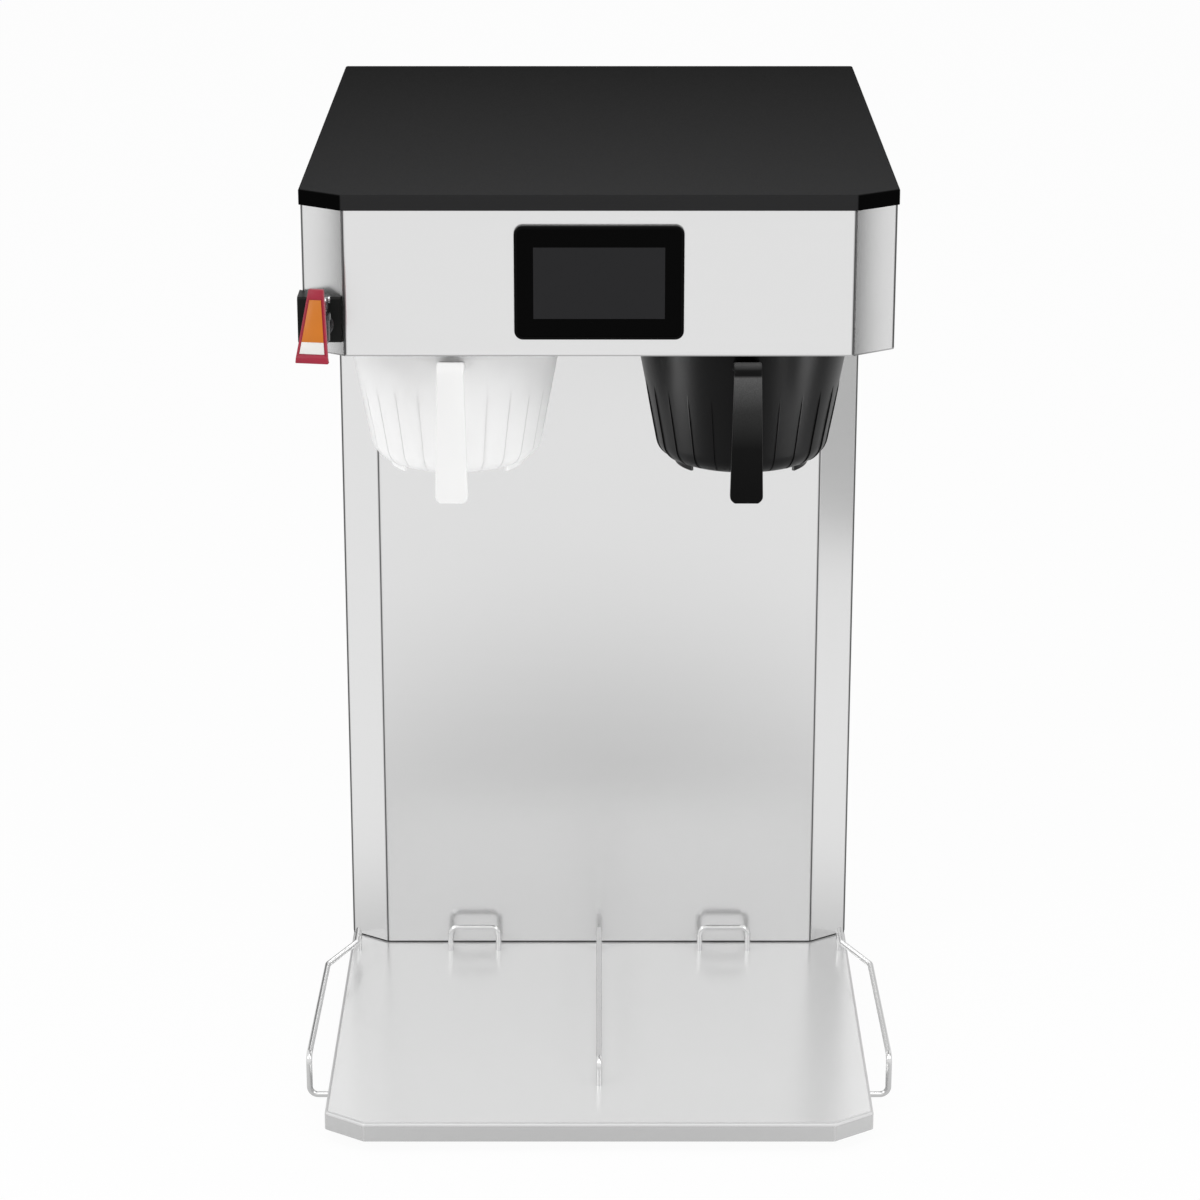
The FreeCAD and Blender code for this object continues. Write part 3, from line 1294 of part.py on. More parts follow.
def make_faucet_spring():
    """Coil spring round the stem, from the seat cup up to the bonnet, on arcs of a half turn."""
    low = CUP_Z + CUP_HEIGHT + SPRING_WIRE_R + SPRING_GAP
    high = BODY_TOP - SPRING_WIRE_R - SPRING_GAP
    rise = (high - low) / SPRING_TURNS

    def at(turn):
        angle = 2 * math.pi * turn
        return vec(
            FAUCET_X + SPRING_R * math.cos(angle),
            FAUCET_Y + SPRING_R * math.sin(angle),
            low + rise * turn,
        )

    halves = []
    for i in range(2 * SPRING_TURNS):
        halves.append(Part.Arc(at(i / 2), at(i / 2 + 0.25), at(i / 2 + 0.5)).toShape())
    start = halves[0].tangentAt(halves[0].FirstParameter)
    section = Part.Wire(Part.makeCircle(SPRING_WIRE_R, at(0), start))
    return Part.Wire(halves).makePipeShell([section], True, False)


def make_faucet_tube():
    """Hot water line from the tank's front to the faucet's shank."""
    half = TANK_WIDTH / 2 - TANK_CORNER
    points = [
        shank_end(),
        vec(FAUCET_X, TANK_FRONT - 2 * TUBE_BEND, SHANK_Z),
        vec(-half, TANK_FRONT - 2 * TUBE_BEND, SHANK_Z),
        vec(-half, TANK_FRONT, SHANK_Z),
    ]
    return tube(points, TUBE_R, WATER_BORE, TUBE_BEND)


def assembly():
    """Every node of the brewer by name, each a solid or a list of separate solids."""
    nodes = {
        "base_tray": make_base_tray(),
        "base_channels": make_base_channels(),
        "rubber_feet": make_rubber_feet(),
        "trunk_gasket": make_trunk_gasket(),
        "trunk_shell": make_trunk_shell(),
        "hood_shell": make_hood_shell(),
        "hood_floor": make_hood_floor(),
        "top_lid": make_top_lid(),
        "rear_cover": make_rear_cover(),
        "cover_screws": make_cover_screws(),
        "right_side_guide": make_side_guide(),
        "left_side_guide": mirrored(make_side_guide()),
        "centre_divider": make_centre_divider(),
        "display_bezel": make_display_bezel(),
        "touch_glass": make_touch_glass(),
        "lcd_module": make_lcd_module(),
        "water_tank": make_water_tank(),
        "tank_gasket": make_tank_gasket(),
        "tank_cover": make_tank_cover(),
        "tank_stand": make_tank_stand(),
        "heating_elements": make_heating_elements(),
        "temperature_probe": make_probe(-1, PROBE_LENGTH),
        "level_probe": make_probe(1, LEVEL_LENGTH),
        "inlet_fitting": make_inlet_fitting(),
        "inlet_valve": make_inlet_valve(),
        "inlet_tube": make_inlet_tube(),
        "cable_gland": make_cable_gland(),
        "switch_housing": make_switch_housing(),
        "power_rocker": make_power_rocker(),
        "power_supply": make_power_supply(),
        "terminal_block": make_terminal_block(),
        "control_board": make_control_board(),
        "board_standoffs": make_board_standoffs(),
        "faucet_block": make_faucet_block(),
        "faucet_wedge": make_faucet_wedge(),
        "faucet_nut": make_faucet_nut(),
        "faucet_body": make_faucet_body(),
        "faucet_bonnet": make_faucet_bonnet(),
        "pivot_pin": make_pivot_pin(),
        "faucet_lever": make_faucet_lever(),
        "lever_band": make_lever_field(BAND_TOP, TAG_TOP),
        "lever_tag": make_lever_field(TAG_TOP, TAG_LOW),
        "faucet_stem": make_faucet_stem(),
        "seat_cup": make_seat_cup(),
        "faucet_spring": make_faucet_spring(),
        "faucet_tube": make_faucet_tube(),
    }
    for name, side in (("left", -1), ("right", 1)):
        x = side * FUNNEL_X
        nodes[name + "_server_stop"] = make_server_stop(side)
        nodes[name + "_funnel_bowl"] = make_funnel_bowl(x)
        nodes[name + "_funnel_handle"] = make_funnel_handle(x)
        nodes[name + "_funnel_rails"] = make_funnel_rails(x)
        nodes[name + "_spray_head"] = make_spray_head(x)
        nodes[name + "_brew_tube"] = make_brew_tube(x)
        nodes[name + "_brew_valve"] = make_brew_valve(x)
    return nodes


def export(nodes):
    os.makedirs("parts", exist_ok=True)
    for name, shape in nodes.items():
        if isinstance(shape, list):
            shape = Part.makeCompound(shape)
        shape.exportStep("parts/" + name + ".step")
        volume = shape.Volume / 1000
        print(f"{name}: {len(shape.Solids)} solid(s), {volume:.2f} cm3, valid {shape.isValid()}")


export(assembly())
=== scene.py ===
"""Twin coffee and tea brewer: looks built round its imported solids.

Lengths are metres, +Z is up and the brewer's front faces -Y.
"""

import logging
import math
from dataclasses import dataclass, field
from enum import Enum
from typing import Callable, ClassVar, Dict, List, Optional, Sequence, Tuple

import bmesh
import bpy
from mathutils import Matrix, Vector


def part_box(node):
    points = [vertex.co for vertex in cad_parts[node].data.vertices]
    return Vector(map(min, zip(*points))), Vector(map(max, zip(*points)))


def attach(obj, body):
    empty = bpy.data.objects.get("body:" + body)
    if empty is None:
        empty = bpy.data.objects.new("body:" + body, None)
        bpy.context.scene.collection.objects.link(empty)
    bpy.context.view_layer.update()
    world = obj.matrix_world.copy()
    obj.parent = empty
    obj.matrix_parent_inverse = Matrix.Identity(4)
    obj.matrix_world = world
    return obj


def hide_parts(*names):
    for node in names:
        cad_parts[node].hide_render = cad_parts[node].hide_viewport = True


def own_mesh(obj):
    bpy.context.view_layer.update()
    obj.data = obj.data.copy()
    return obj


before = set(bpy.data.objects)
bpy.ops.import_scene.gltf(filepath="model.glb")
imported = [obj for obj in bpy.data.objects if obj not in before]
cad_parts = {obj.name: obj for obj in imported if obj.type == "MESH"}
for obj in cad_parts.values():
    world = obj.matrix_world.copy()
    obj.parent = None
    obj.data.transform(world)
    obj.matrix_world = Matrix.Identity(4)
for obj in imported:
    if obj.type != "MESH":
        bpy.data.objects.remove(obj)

Colour = Tuple[float, float, float]
Point = Tuple[float, float, float]

LOG = logging.getLogger("brewer")
MM = 0.001
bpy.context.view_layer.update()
# Values that most of a noise pattern lies between
NOISE_SPAN = (0.3, 0.7)
# Wide and narrow slack when points and edges are picked by place
TOUCH = 0.1 * MM
HAIR = 0.02 * MM
# Share of a direction that has to lie along another for the two to count as the same
ALIGNED = 0.9


class Body(Enum):
    """Moving groups that a piece can ride on."""

    HOUSING = "housing"
    LEFT_FUNNEL = "left_funnel"
    RIGHT_FUNNEL = "right_funnel"
    LEVER = "lever"


class Grain(Enum):
    """Direction of the polishing lines in sheet steel."""

    LEVEL = (6.0, 6.0, 2600.0)
    DEPTHWISE = (2600.0, 6.0, 6.0)
    CROSSWISE = (6.0, 2600.0, 2600.0)


class Shading:
    """Node tree of one material, with short calls for the nodes that the finishes use."""

    def __init__(self, name: str) -> None:
        """Start an empty tree with a Principled surface.

        Args:
            name: Name of the material.
        """
        self.material = bpy.data.materials.new(name)
        self.material.use_nodes = True
        self.tree = self.material.node_tree
        self.surface = self.tree.nodes["Principled BSDF"]
        self.place = self.tree.nodes.new("ShaderNodeTexCoord").outputs["Object"]

    def node(
        self, kind: str, inputs: Optional[Dict[object, object]] = None, **settings: object
    ) -> bpy.types.Node:
        """Add a node.

        Args:
            kind: Node type without its "ShaderNode" prefix.
            inputs: Values or sockets for its inputs, by name or index.
            settings: Attributes of the node.

        Returns:
            The new node.
        """
        made = self.tree.nodes.new("ShaderNode" + kind)
        for key, value in settings.items():
            setattr(made, key, value)
        for key, value in (inputs or {}).items():
            self.feed(made.inputs[key], value)
        return made

    def feed(self, socket: bpy.types.NodeSocket, value: object) -> None:
        """Set a socket to a constant, or link another socket into it.

        Args:
            socket: Socket to set.
            value: Number, colour, vector or output socket.
        """
        if isinstance(value, bpy.types.NodeSocket):
            self.tree.links.new(value, socket)
        elif socket.type == "RGBA" and len(value) == 3:
            socket.default_value = (*value, 1.0)
        else:
            socket.default_value = value

    def set(self, **values: object) -> None:
        """Set inputs of the surface, with underscores for the spaces in their names.

        Args:
            values: Values or sockets by input name.
        """
        for key, value in values.items():
            self.feed(self.surface.inputs[key.replace("_", " ")], value)

    def noise(self, scale: object, detail: float = 3.0, lift: float = 0.5) -> bpy.types.NodeSocket:
        """Noise in the brewer's own coordinates.

        Args:
            scale: One number, or three for a stretched pattern.
            detail: Levels of finer noise.
            lift: Strength of each finer level.

        Returns:
            The noise value, about 0.5 on average.
        """
        spread = scale if isinstance(scale, tuple) else (scale, scale, scale)
        mapped = self.node("Mapping", {"Vector": self.place, "Scale": spread}).outputs[0]
        inputs = {"Vector": mapped, "Scale": 1.0, "Detail": detail, "Roughness": lift}
        return self.node("TexNoise", inputs).outputs["Fac"]

    def between(self, value: bpy.types.NodeSocket, low: float, high: float) -> bpy.types.NodeSocket:
        """Spread a noise value over a range.

        Args:
            value: Noise value.
            low: Result where the noise is low.
            high: Result where the noise is high.

        Returns:
            The ranged value.
        """
        return self.ranged(value, *NOISE_SPAN, low, high)

    def ranged(
        self, value: bpy.types.NodeSocket, start: float, end: float, low: float = 0.0, high: float = 1.0
    ) -> bpy.types.NodeSocket:
        """Carry a number from one range over to another.

        Args:
            value: Number to carry over.
            start: Where the first range starts.
            end: Where it ends.
            low: Result at its start.
            high: Result at its end.

        Returns:
            The new number.
        """
        inputs = {"Value": value, "From Min": start, "From Max": end, "To Min": low, "To Max": high}
        return self.node("MapRange", inputs).outputs[0]

    def work_out(self, operation: str, *values: object) -> bpy.types.NodeSocket:
        """Work out one number from others.

        Args:
            operation: Blender's name for the sum.
            values: Numbers or sockets that it takes.

        Returns:
            The result.
        """
        return self.node("Math", dict(enumerate(values)), operation=operation).outputs[0]

    def along(self, axis: int) -> bpy.types.NodeSocket:
        """Place along one axis of the brewer."""
        return self.node("SeparateXYZ", {0: self.place}).outputs[axis]

    def facing(self) -> bpy.types.NodeSocket:
        """Direction that the surface faces."""
        return self.node("NewGeometry").outputs["Normal"]

    def facing_along(self, axis: int) -> bpy.types.NodeSocket:
        """Share of the facing direction that lies along one axis."""
        return self.node("SeparateXYZ", {0: self.facing()}).outputs[axis]

    def blend(self, share: object, first: object, second: object) -> bpy.types.NodeSocket:
        """Mix two colours.

        Args:
            share: Part of the second colour, from 0 to 1.
            first: Colour at share 0.
            second: Colour at share 1.

        Returns:
            The mixed colour.
        """
        mixed = self.node("Mix", data_type="RGBA")
        self.feed(mixed.inputs[0], share)
        self.feed(mixed.inputs[6], first)
        self.feed(mixed.inputs[7], second)
        return mixed.outputs[2]

    def relief(self, height: bpy.types.NodeSocket, strength: float, depth: float) -> None:
        """Raise the surface by a bump.

        Args:
            height: Height pattern from 0 to 1.
            strength: Share of the bump that shows.
            depth: Height of the pattern in metres.
        """
        bump = self.node("Bump", {"Height": height, "Strength": strength, "Distance": depth})
        self.set(Normal=bump.outputs[0])


@dataclass(frozen=True)
class Finish:
    """Base of every finish: a name, the record's material slot and a colour."""

    name: str
    slot: str
    colour: Colour
    made: ClassVar[Dict[str, bpy.types.Material]] = {}

    def material(self) -> bpy.types.Material:
        """Give the finish's material, made on first use.

        Returns:
            The material.
        """
        if self.name not in Finish.made:
            shading = Shading(self.name)
            self.paint(shading)
            Finish.made[self.name] = shading.material
        return Finish.made[self.name]

    def paint(self, shading: Shading) -> None:
        """Fill in the node tree.

        Args:
            shading: Tree to fill.
        """
        raise NotImplementedError

    def toned(self, shading: Shading, pattern: bpy.types.NodeSocket, spread: float) -> bpy.types.NodeSocket:
        """Vary the colour a little with a pattern.

        Args:
            shading: Tree to use.
            pattern: Pattern from 0 to 1.
            spread: Share by which the colour goes down and up.

        Returns:
            The varied colour.
        """
        high = tuple(min(1.0, part) for part in self.dimmed(1.0 + spread))
        return shading.blend(shading.between(pattern, 0.0, 1.0), self.dimmed(1.0 - spread), high)

    def dimmed(self, share: float) -> Colour:
        """Colour times a share."""
        return tuple(part * share for part in self.colour)


@dataclass(frozen=True)
class SheetSteel(Finish):
    """Polished sheet with fine lines, faint wiping marks and duller bends darkened by painted shade."""

    roughness: float = 0.22
    grain: Grain = Grain.LEVEL
    lines: float = 0.01
    # Share of the colour kept on the bends: painted shade for the dark lines that bends mirror
    bend: float = 0.13
    metallic: float = 1.0
    # Share of the colour on faces that do not face up: painted shade on upright walls
    upright: float = 1.0
    # Height below which the sheet gets a painted shadow line, 0 for none; the next value is its share of the
    # colour
    painted_shade_top: float = 0.0
    painted_shade_tone: float = 0.6
    wiping: float = 0.015
    streak: float = 0.012
    bend_roughness: float = 0.25
    bent: float = 0.975
    flat: float = 0.999
    flats: ClassVar[Sequence[Point]] = (
        (1, 0, 0), (0, 1, 0), (0, 0, 1), (0.5547, 0.8321, 0), (-0.5547, 0.8321, 0)
    )

    def bends(self, shading: Shading) -> bpy.types.NodeSocket:
        """Find the rounded bends, where the surface faces between the directions of the flat sheets.

        Args:
            shading: Tree to use.

        Returns:
            A mask that is 1 on bends and 0 on flat sheet.
        """
        facing = shading.facing()
        nearest = 0.0
        for direction in self.flats:
            turned = shading.node("VectorMath", {0: facing, 1: direction}, operation="DOT_PRODUCT")
            aligned = shading.work_out("ABSOLUTE", turned.outputs["Value"])
            nearest = shading.work_out("MAXIMUM", nearest, aligned)
        return shading.ranged(nearest, self.bent, self.flat, 1.0, 0.0)

    def paint(self, shading: Shading) -> None:
        """Fill in the node tree.

        Args:
            shading: Tree to fill.
        """
        lines = shading.noise(self.grain.value, detail=4.0)
        wiped = shading.noise((5.0, 5.0, 9.0), detail=2.0)
        # Bend mask: painted shade darkens the colour there and the roughness rises
        painted_shading = self.bends(shading)
        even = shading.between(wiped, self.roughness - self.wiping, self.roughness + self.wiping)
        streaked = shading.work_out("ADD", shading.between(lines, -self.streak, self.streak), even)
        tone = self.toned(shading, lines, self.lines)
        # Painted shade on faces that do not face up
        if self.upright < 1.0:
            upright = shading.work_out("LESS_THAN", shading.facing_along(2), 0.5)
            tone = shading.blend(upright, tone, self.dimmed(self.upright))
        # Painted shade on the bends
        tone = shading.blend(painted_shading, tone, self.dimmed(self.bend))
        # Painted shadow line along the lower edge
        if self.painted_shade_top > 0.0:
            edge = shading.work_out("LESS_THAN", shading.along(2), self.painted_shade_top)
            tone = shading.blend(edge, tone, self.dimmed(self.painted_shade_tone))
        rough = shading.work_out("MULTIPLY_ADD", painted_shading, self.bend_roughness, streaked)
        shading.set(Base_Color=tone, Roughness=rough, Metallic=self.metallic)
        shading.relief(lines, 0.015, 0.02 * MM)


@dataclass(frozen=True)
class BareMetal(Finish):
    """Drawn, turned or cast metal with fine marks and dull patches."""

    roughness: float = 0.2
    scale: float = 900.0
    marks: float = 0.06
    polished: float = 0.75
    dulled: float = 1.3

    def paint(self, shading: Shading) -> None:
        """Fill in the node tree.

        Args:
            shading: Tree to fill.
        """
        fine = shading.noise(self.scale)
        patches = shading.noise(60.0, detail=2.0)
        shading.set(
            Base_Color=self.toned(shading, patches, self.marks),
            Roughness=shading.between(fine, self.roughness * self.polished, self.roughness * self.dulled),
            Metallic=1.0,
        )
        shading.relief(fine, 0.03, 0.02 * MM)


@dataclass(frozen=True)
class Moulded(Finish):
    """Moulded or painted surface with a fine grain."""

    roughness: float = 0.4
    specular: float = 0.5
    scale: float = 1400.0
    depth: float = 0.04 * MM
    mottle: float = 0.06
    gloss_spread: float = 0.12

    def paint(self, shading: Shading) -> None:
        """Fill in the node tree.

        Args:
            shading: Tree to fill.
        """
        grain = shading.noise(self.scale, detail=2.0)
        cloud = shading.noise(30.0, detail=2.0)
        off = self.roughness * self.gloss_spread
        shading.set(
            Base_Color=self.toned(shading, cloud, self.mottle),
            Roughness=shading.between(grain, self.roughness - off, self.roughness + off),
            Specular_IOR_Level=self.specular,
        )
        shading.relief(grain, 0.25, self.depth)


@dataclass(frozen=True)
class LidPaint(Finish):
    """Satin black paint, greyer towards the front edge as painted light, with painted shade keeping the cut
    corners black.
    """

    # Colour at the front edge, greyer than the black at the back: painted light
    painted_shading: Colour = (0.024, 0.024, 0.0245)
    front: float = -288.0 * MM
    back: float = 334.0 * MM
    ahead: float = 0.1
    aslant: float = 0.5
    satin: Tuple[float, float] = (0.46, 0.56)
    specular: float = 0.004

    def paint(self, shading: Shading) -> None:
        """Fill in the node tree.

        Args:
            shading: Tree to fill.
        """
        # Painted light: 1 at the front edge, 0 at the back
        painted_light_ramp = shading.ranged(shading.along(1), self.front, self.back, 1.0, 0.0)
        grain = shading.noise(1300.0, detail=2.0)
        # Painted shade: faces that turn sideways, the cut corners, stay black
        sideways = shading.work_out("ABSOLUTE", shading.facing_along(0))
        corner = shading.ranged(sideways, self.ahead, self.aslant)
        tone = shading.blend(painted_light_ramp, self.toned(shading, grain, 0.08), self.painted_shading)
        shading.set(
            Base_Color=shading.blend(corner, tone, self.colour),
            Roughness=shading.between(grain, *self.satin),
            Specular_IOR_Level=self.specular,
        )
        shading.relief(grain, 0.2, 0.04 * MM)


@dataclass(frozen=True)
class Grip(Finish):
    """Moulded black plastic, greyer towards its top with painted light and a painted highlight near its
    bend.
    """

    low: float = 640.0 * MM
    high: float = 752.0 * MM
    # Tone at shares of the height: painted sheen greyer upwards, a painted highlight at 0.91 and painted
    # shade just above it
    painted_light_ramp: Tuple[Tuple[float, float], ...] = (
        (0.0, 0.002), (0.35, 0.004), (0.65, 0.03), (0.91, 0.1), (0.93, 0.004), (0.97, 0.004), (1.0, 0.06)
    )
    gloss: Tuple[float, float] = (0.28, 0.36)
    specular: float = 0.06

    def paint(self, shading: Shading) -> None:
        """Fill in the node tree.

        Args:
            shading: Tree to fill.
        """
        # Ramp of painted light and shade up the handle's height
        ramp = shading.node("ValToRGB", {0: shading.ranged(shading.along(2), self.low, self.high)})
        stops = ramp.color_ramp.elements
        for share, _ in self.painted_light_ramp[1:-1]:
            stops.new(share)
        for stop, (share, tone) in zip(stops, self.painted_light_ramp):
            stop.position = share
            stop.color = (tone, tone, tone, 1.0)
        grain = shading.noise(1300.0, detail=2.0)
        shading.set(
            Base_Color=shading.blend(shading.between(grain, 0.0, 0.3), ramp.outputs[0], self.colour),
            Roughness=shading.between(grain, *self.gloss),
            Specular_IOR_Level=self.specular,
        )
        shading.relief(grain, 0.2, 0.03 * MM)


@dataclass(frozen=True)
class Milky(Finish):
    """Translucent moulded plastic that scatters light inside its wall."""

    roughness: float = 0.38
    gloss_spread: float = 0.05
    scatter: float = 0.25
    scatter_depth: float = 5.0 * MM
    specular: float = 0.35

    def paint(self, shading: Shading) -> None:
        """Fill in the node tree.

        Args:
            shading: Tree to fill.
        """
        grain = shading.noise(700.0, detail=2.0)
        flow = shading.noise((25.0, 25.0, 7.0), detail=2.0)
        low, high = self.roughness - self.gloss_spread, self.roughness + self.gloss_spread
        shading.set(
            Base_Color=self.toned(shading, flow, 0.02),
            Roughness=shading.between(grain, low, high),
            Subsurface_Weight=self.scatter,
            Subsurface_Radius=(1.0, 1.0, 1.0),
            Subsurface_Scale=self.scatter_depth,
            Specular_IOR_Level=self.specular,
        )
        shading.relief(grain, 0.12, 0.04 * MM)


@dataclass(frozen=True)
class ScreenGlass(Finish):
    """Glass with a black border printed behind it and a dark, unlit screen in the middle."""

    screen: Colour = (0.02, 0.02, 0.021)
    cell: Colour = (0.028, 0.028, 0.03)
    half_width: float = 56.0 * MM
    half_height: float = 31.0 * MM
    centre_z: float = 823.0 * MM
    gloss: Tuple[float, float] = (0.05, 0.12)
    specular: float = 0.03

    def within(self, shading: Shading, axis: int, middle: float, half: float) -> bpy.types.NodeSocket:
        """Mark the stretch round a middle.

        Args:
            shading: Tree to use.
            axis: Axis that the stretch runs along.
            middle: Its middle.
            half: Half its length.

        Returns:
            A mask that is 1 inside the stretch.
        """
        off = shading.work_out("SUBTRACT", shading.along(axis), middle)
        return shading.work_out("LESS_THAN", shading.work_out("ABSOLUTE", off), half)

    def paint(self, shading: Shading) -> None:
        """Fill in the node tree.

        Args:
            shading: Tree to fill.
        """
        across = self.within(shading, 0, 0.0, self.half_width)
        upward = self.within(shading, 2, self.centre_z, self.half_height)
        window = shading.work_out("MULTIPLY", across, upward)
        cells = shading.noise(2600.0, detail=1.0)
        shown = shading.blend(shading.between(cells, 0.0, 0.12), self.screen, self.cell)
        smear = shading.noise(40.0, detail=3.0)
        shading.set(
            Base_Color=shading.blend(window, self.colour, shown),
            Roughness=shading.between(smear, *self.gloss),
            Specular_IOR_Level=self.specular,
        )


@dataclass(frozen=True)
class CircuitBoard(Finish):
    """Green board with a pattern of tracks."""

    track_tone: float = 1.8
    gloss: Tuple[float, float] = (0.3, 0.45)

    def paint(self, shading: Shading) -> None:
        """Fill in the node tree.

        Args:
            shading: Tree to fill.
        """
        tracks = shading.node("TexBrick", {"Vector": shading.place, "Scale": 90.0, "Mortar Size": 0.03})
        shading.set(
            Base_Color=shading.blend(tracks.outputs["Fac"], self.colour, self.dimmed(self.track_tone)),
            Roughness=shading.between(shading.noise(300.0), *self.gloss),
        )


STAINLESS = SheetSteel("stainless_sheet", "stainless", (0.765, 0.765, 0.765))
# The hood gets a painted shadow line along its lower edge
HOOD_STEEL = SheetSteel("hood_sheet", "stainless", (0.765, 0.765, 0.765), painted_shade_top=759.2 * MM)
# The tray's bends keep 0.72 and its upright walls 0.70 of the colour, both painted shade
TRAY_STEEL = SheetSteel(
    "tray_sheet", "stainless", (0.86, 0.86, 0.86), 0.22, Grain.CROSSWISE, 0.003, 0.72,
    metallic=0.52, upright=0.70,
)
BACK_STEEL = SheetSteel("rear_sheet", "stainless", (0.68, 0.68, 0.68), 0.34)
PLAIN_SHEET = SheetSteel("plain_sheet", "galvanised", (0.55, 0.56, 0.57), 0.42, Grain.DEPTHWISE)
TANK_SHEET = SheetSteel("tank_sheet", "tank_steel", (0.68, 0.68, 0.67), 0.36)
WIRE = BareMetal("bright_wire", "wire_steel", (0.70, 0.70, 0.70), 0.2, 300.0, 0.02)
DARK_CHROME = BareMetal("dark_chrome", "screw_steel", (0.12, 0.12, 0.122), 0.2, 400.0, 0.03)
PLATED = BareMetal("plated_screw", "screw_steel", (0.62, 0.62, 0.63), 0.26)
BRASS = BareMetal("turned_brass", "brass", (0.62, 0.42, 0.16), 0.24)
SHEATH = BareMetal("element_sheath", "element_sheath", (0.28, 0.26, 0.24), 0.42)
FINNED = BareMetal("finned_aluminium", "cast_aluminium", (0.6, 0.61, 0.62), 0.38)
LID_BLACK = LidPaint("lid_black", "black_lid", (0.002, 0.002, 0.002))
BEZEL_BLACK = Moulded("bezel_black", "bezel_black", (0.001, 0.001, 0.001), 0.26, 0.05, 1800.0, 0.01 * MM)
FUNNEL_BLACK = Moulded("funnel_black", "funnel_black", (0.004, 0.004, 0.0042), 0.32, 0.1, 1300.0, 0.03 * MM)
HANDLE_BLACK = Grip("handle_black", "funnel_black", (0.006, 0.006, 0.0062))
TRIM_BLACK = Moulded("trim_black", "trim_black", (0.007, 0.0075, 0.007), 0.42, 0.12)
RUBBER = Moulded("foot_rubber", "rubber_black", (0.018, 0.018, 0.018), 0.7, 0.25, 700.0, 0.08 * MM)
SEAL = Moulded("joint_seal", "seal_black", (0.02, 0.02, 0.02), 0.6, 0.25, 700.0, 0.08 * MM)
SILICONE = Milky("silicone", "silicone", (0.75, 0.75, 0.73), 0.45)
VALVE_WHITE = Moulded("valve_white", "valve_plastic", (0.72, 0.71, 0.67), 0.45, 0.4)
LEVER_RED = Moulded("lever_red", "lever_red", (0.33, 0.012, 0.035), 0.3, 0.4, 1500.0, 0.02 * MM, 0.1)
FIELD_ORANGE = Moulded(
    "field_orange", "field_orange", (0.56, 0.165, 0.011), 0.36, 0.35, 1500.0, 0.01 * MM, 0.04
)
FIELD_WHITE = Moulded("field_white", "field_white", (0.76, 0.75, 0.72), 0.36, 0.35, 1500.0, 0.01 * MM, 0.03)
SCREEN_MODULE = Moulded("screen_module", "screen_dark", (0.02, 0.02, 0.02), 0.3, 0.4)
GLASS = ScreenGlass("screen_glass", "screen_glass", (0.0008, 0.0008, 0.0008))
FUNNEL_WHITE = Milky("funnel_white", "funnel_white", (0.93, 0.93, 0.928))
# The handle takes the bowl's white plastic a little darker: painted shade against the stronger lamp light on
# its front
HANDLE_WHITE = Milky("handle_white", "funnel_white", (0.865, 0.865, 0.861))
BOARD = CircuitBoard("board_green", "board_green", (0.015, 0.09, 0.03))


class Kind(Enum):
    """What a pick selects, with Blender's name for it and the name of its list in a mesh."""

    POINT = ("VERT", "verts")
    EDGE = ("EDGE", "edges")
    FACE = ("FACE", "faces")


class Stand(Enum):
    """How a flat rectangle stands before it is drawn out."""

    FLAT = (0.0, 0.0, 0.0)
    FACING_FRONT = (math.pi / 2, 0.0, 0.0)
    FACING_SIDE = (0.0, math.pi / 2, 0.0)


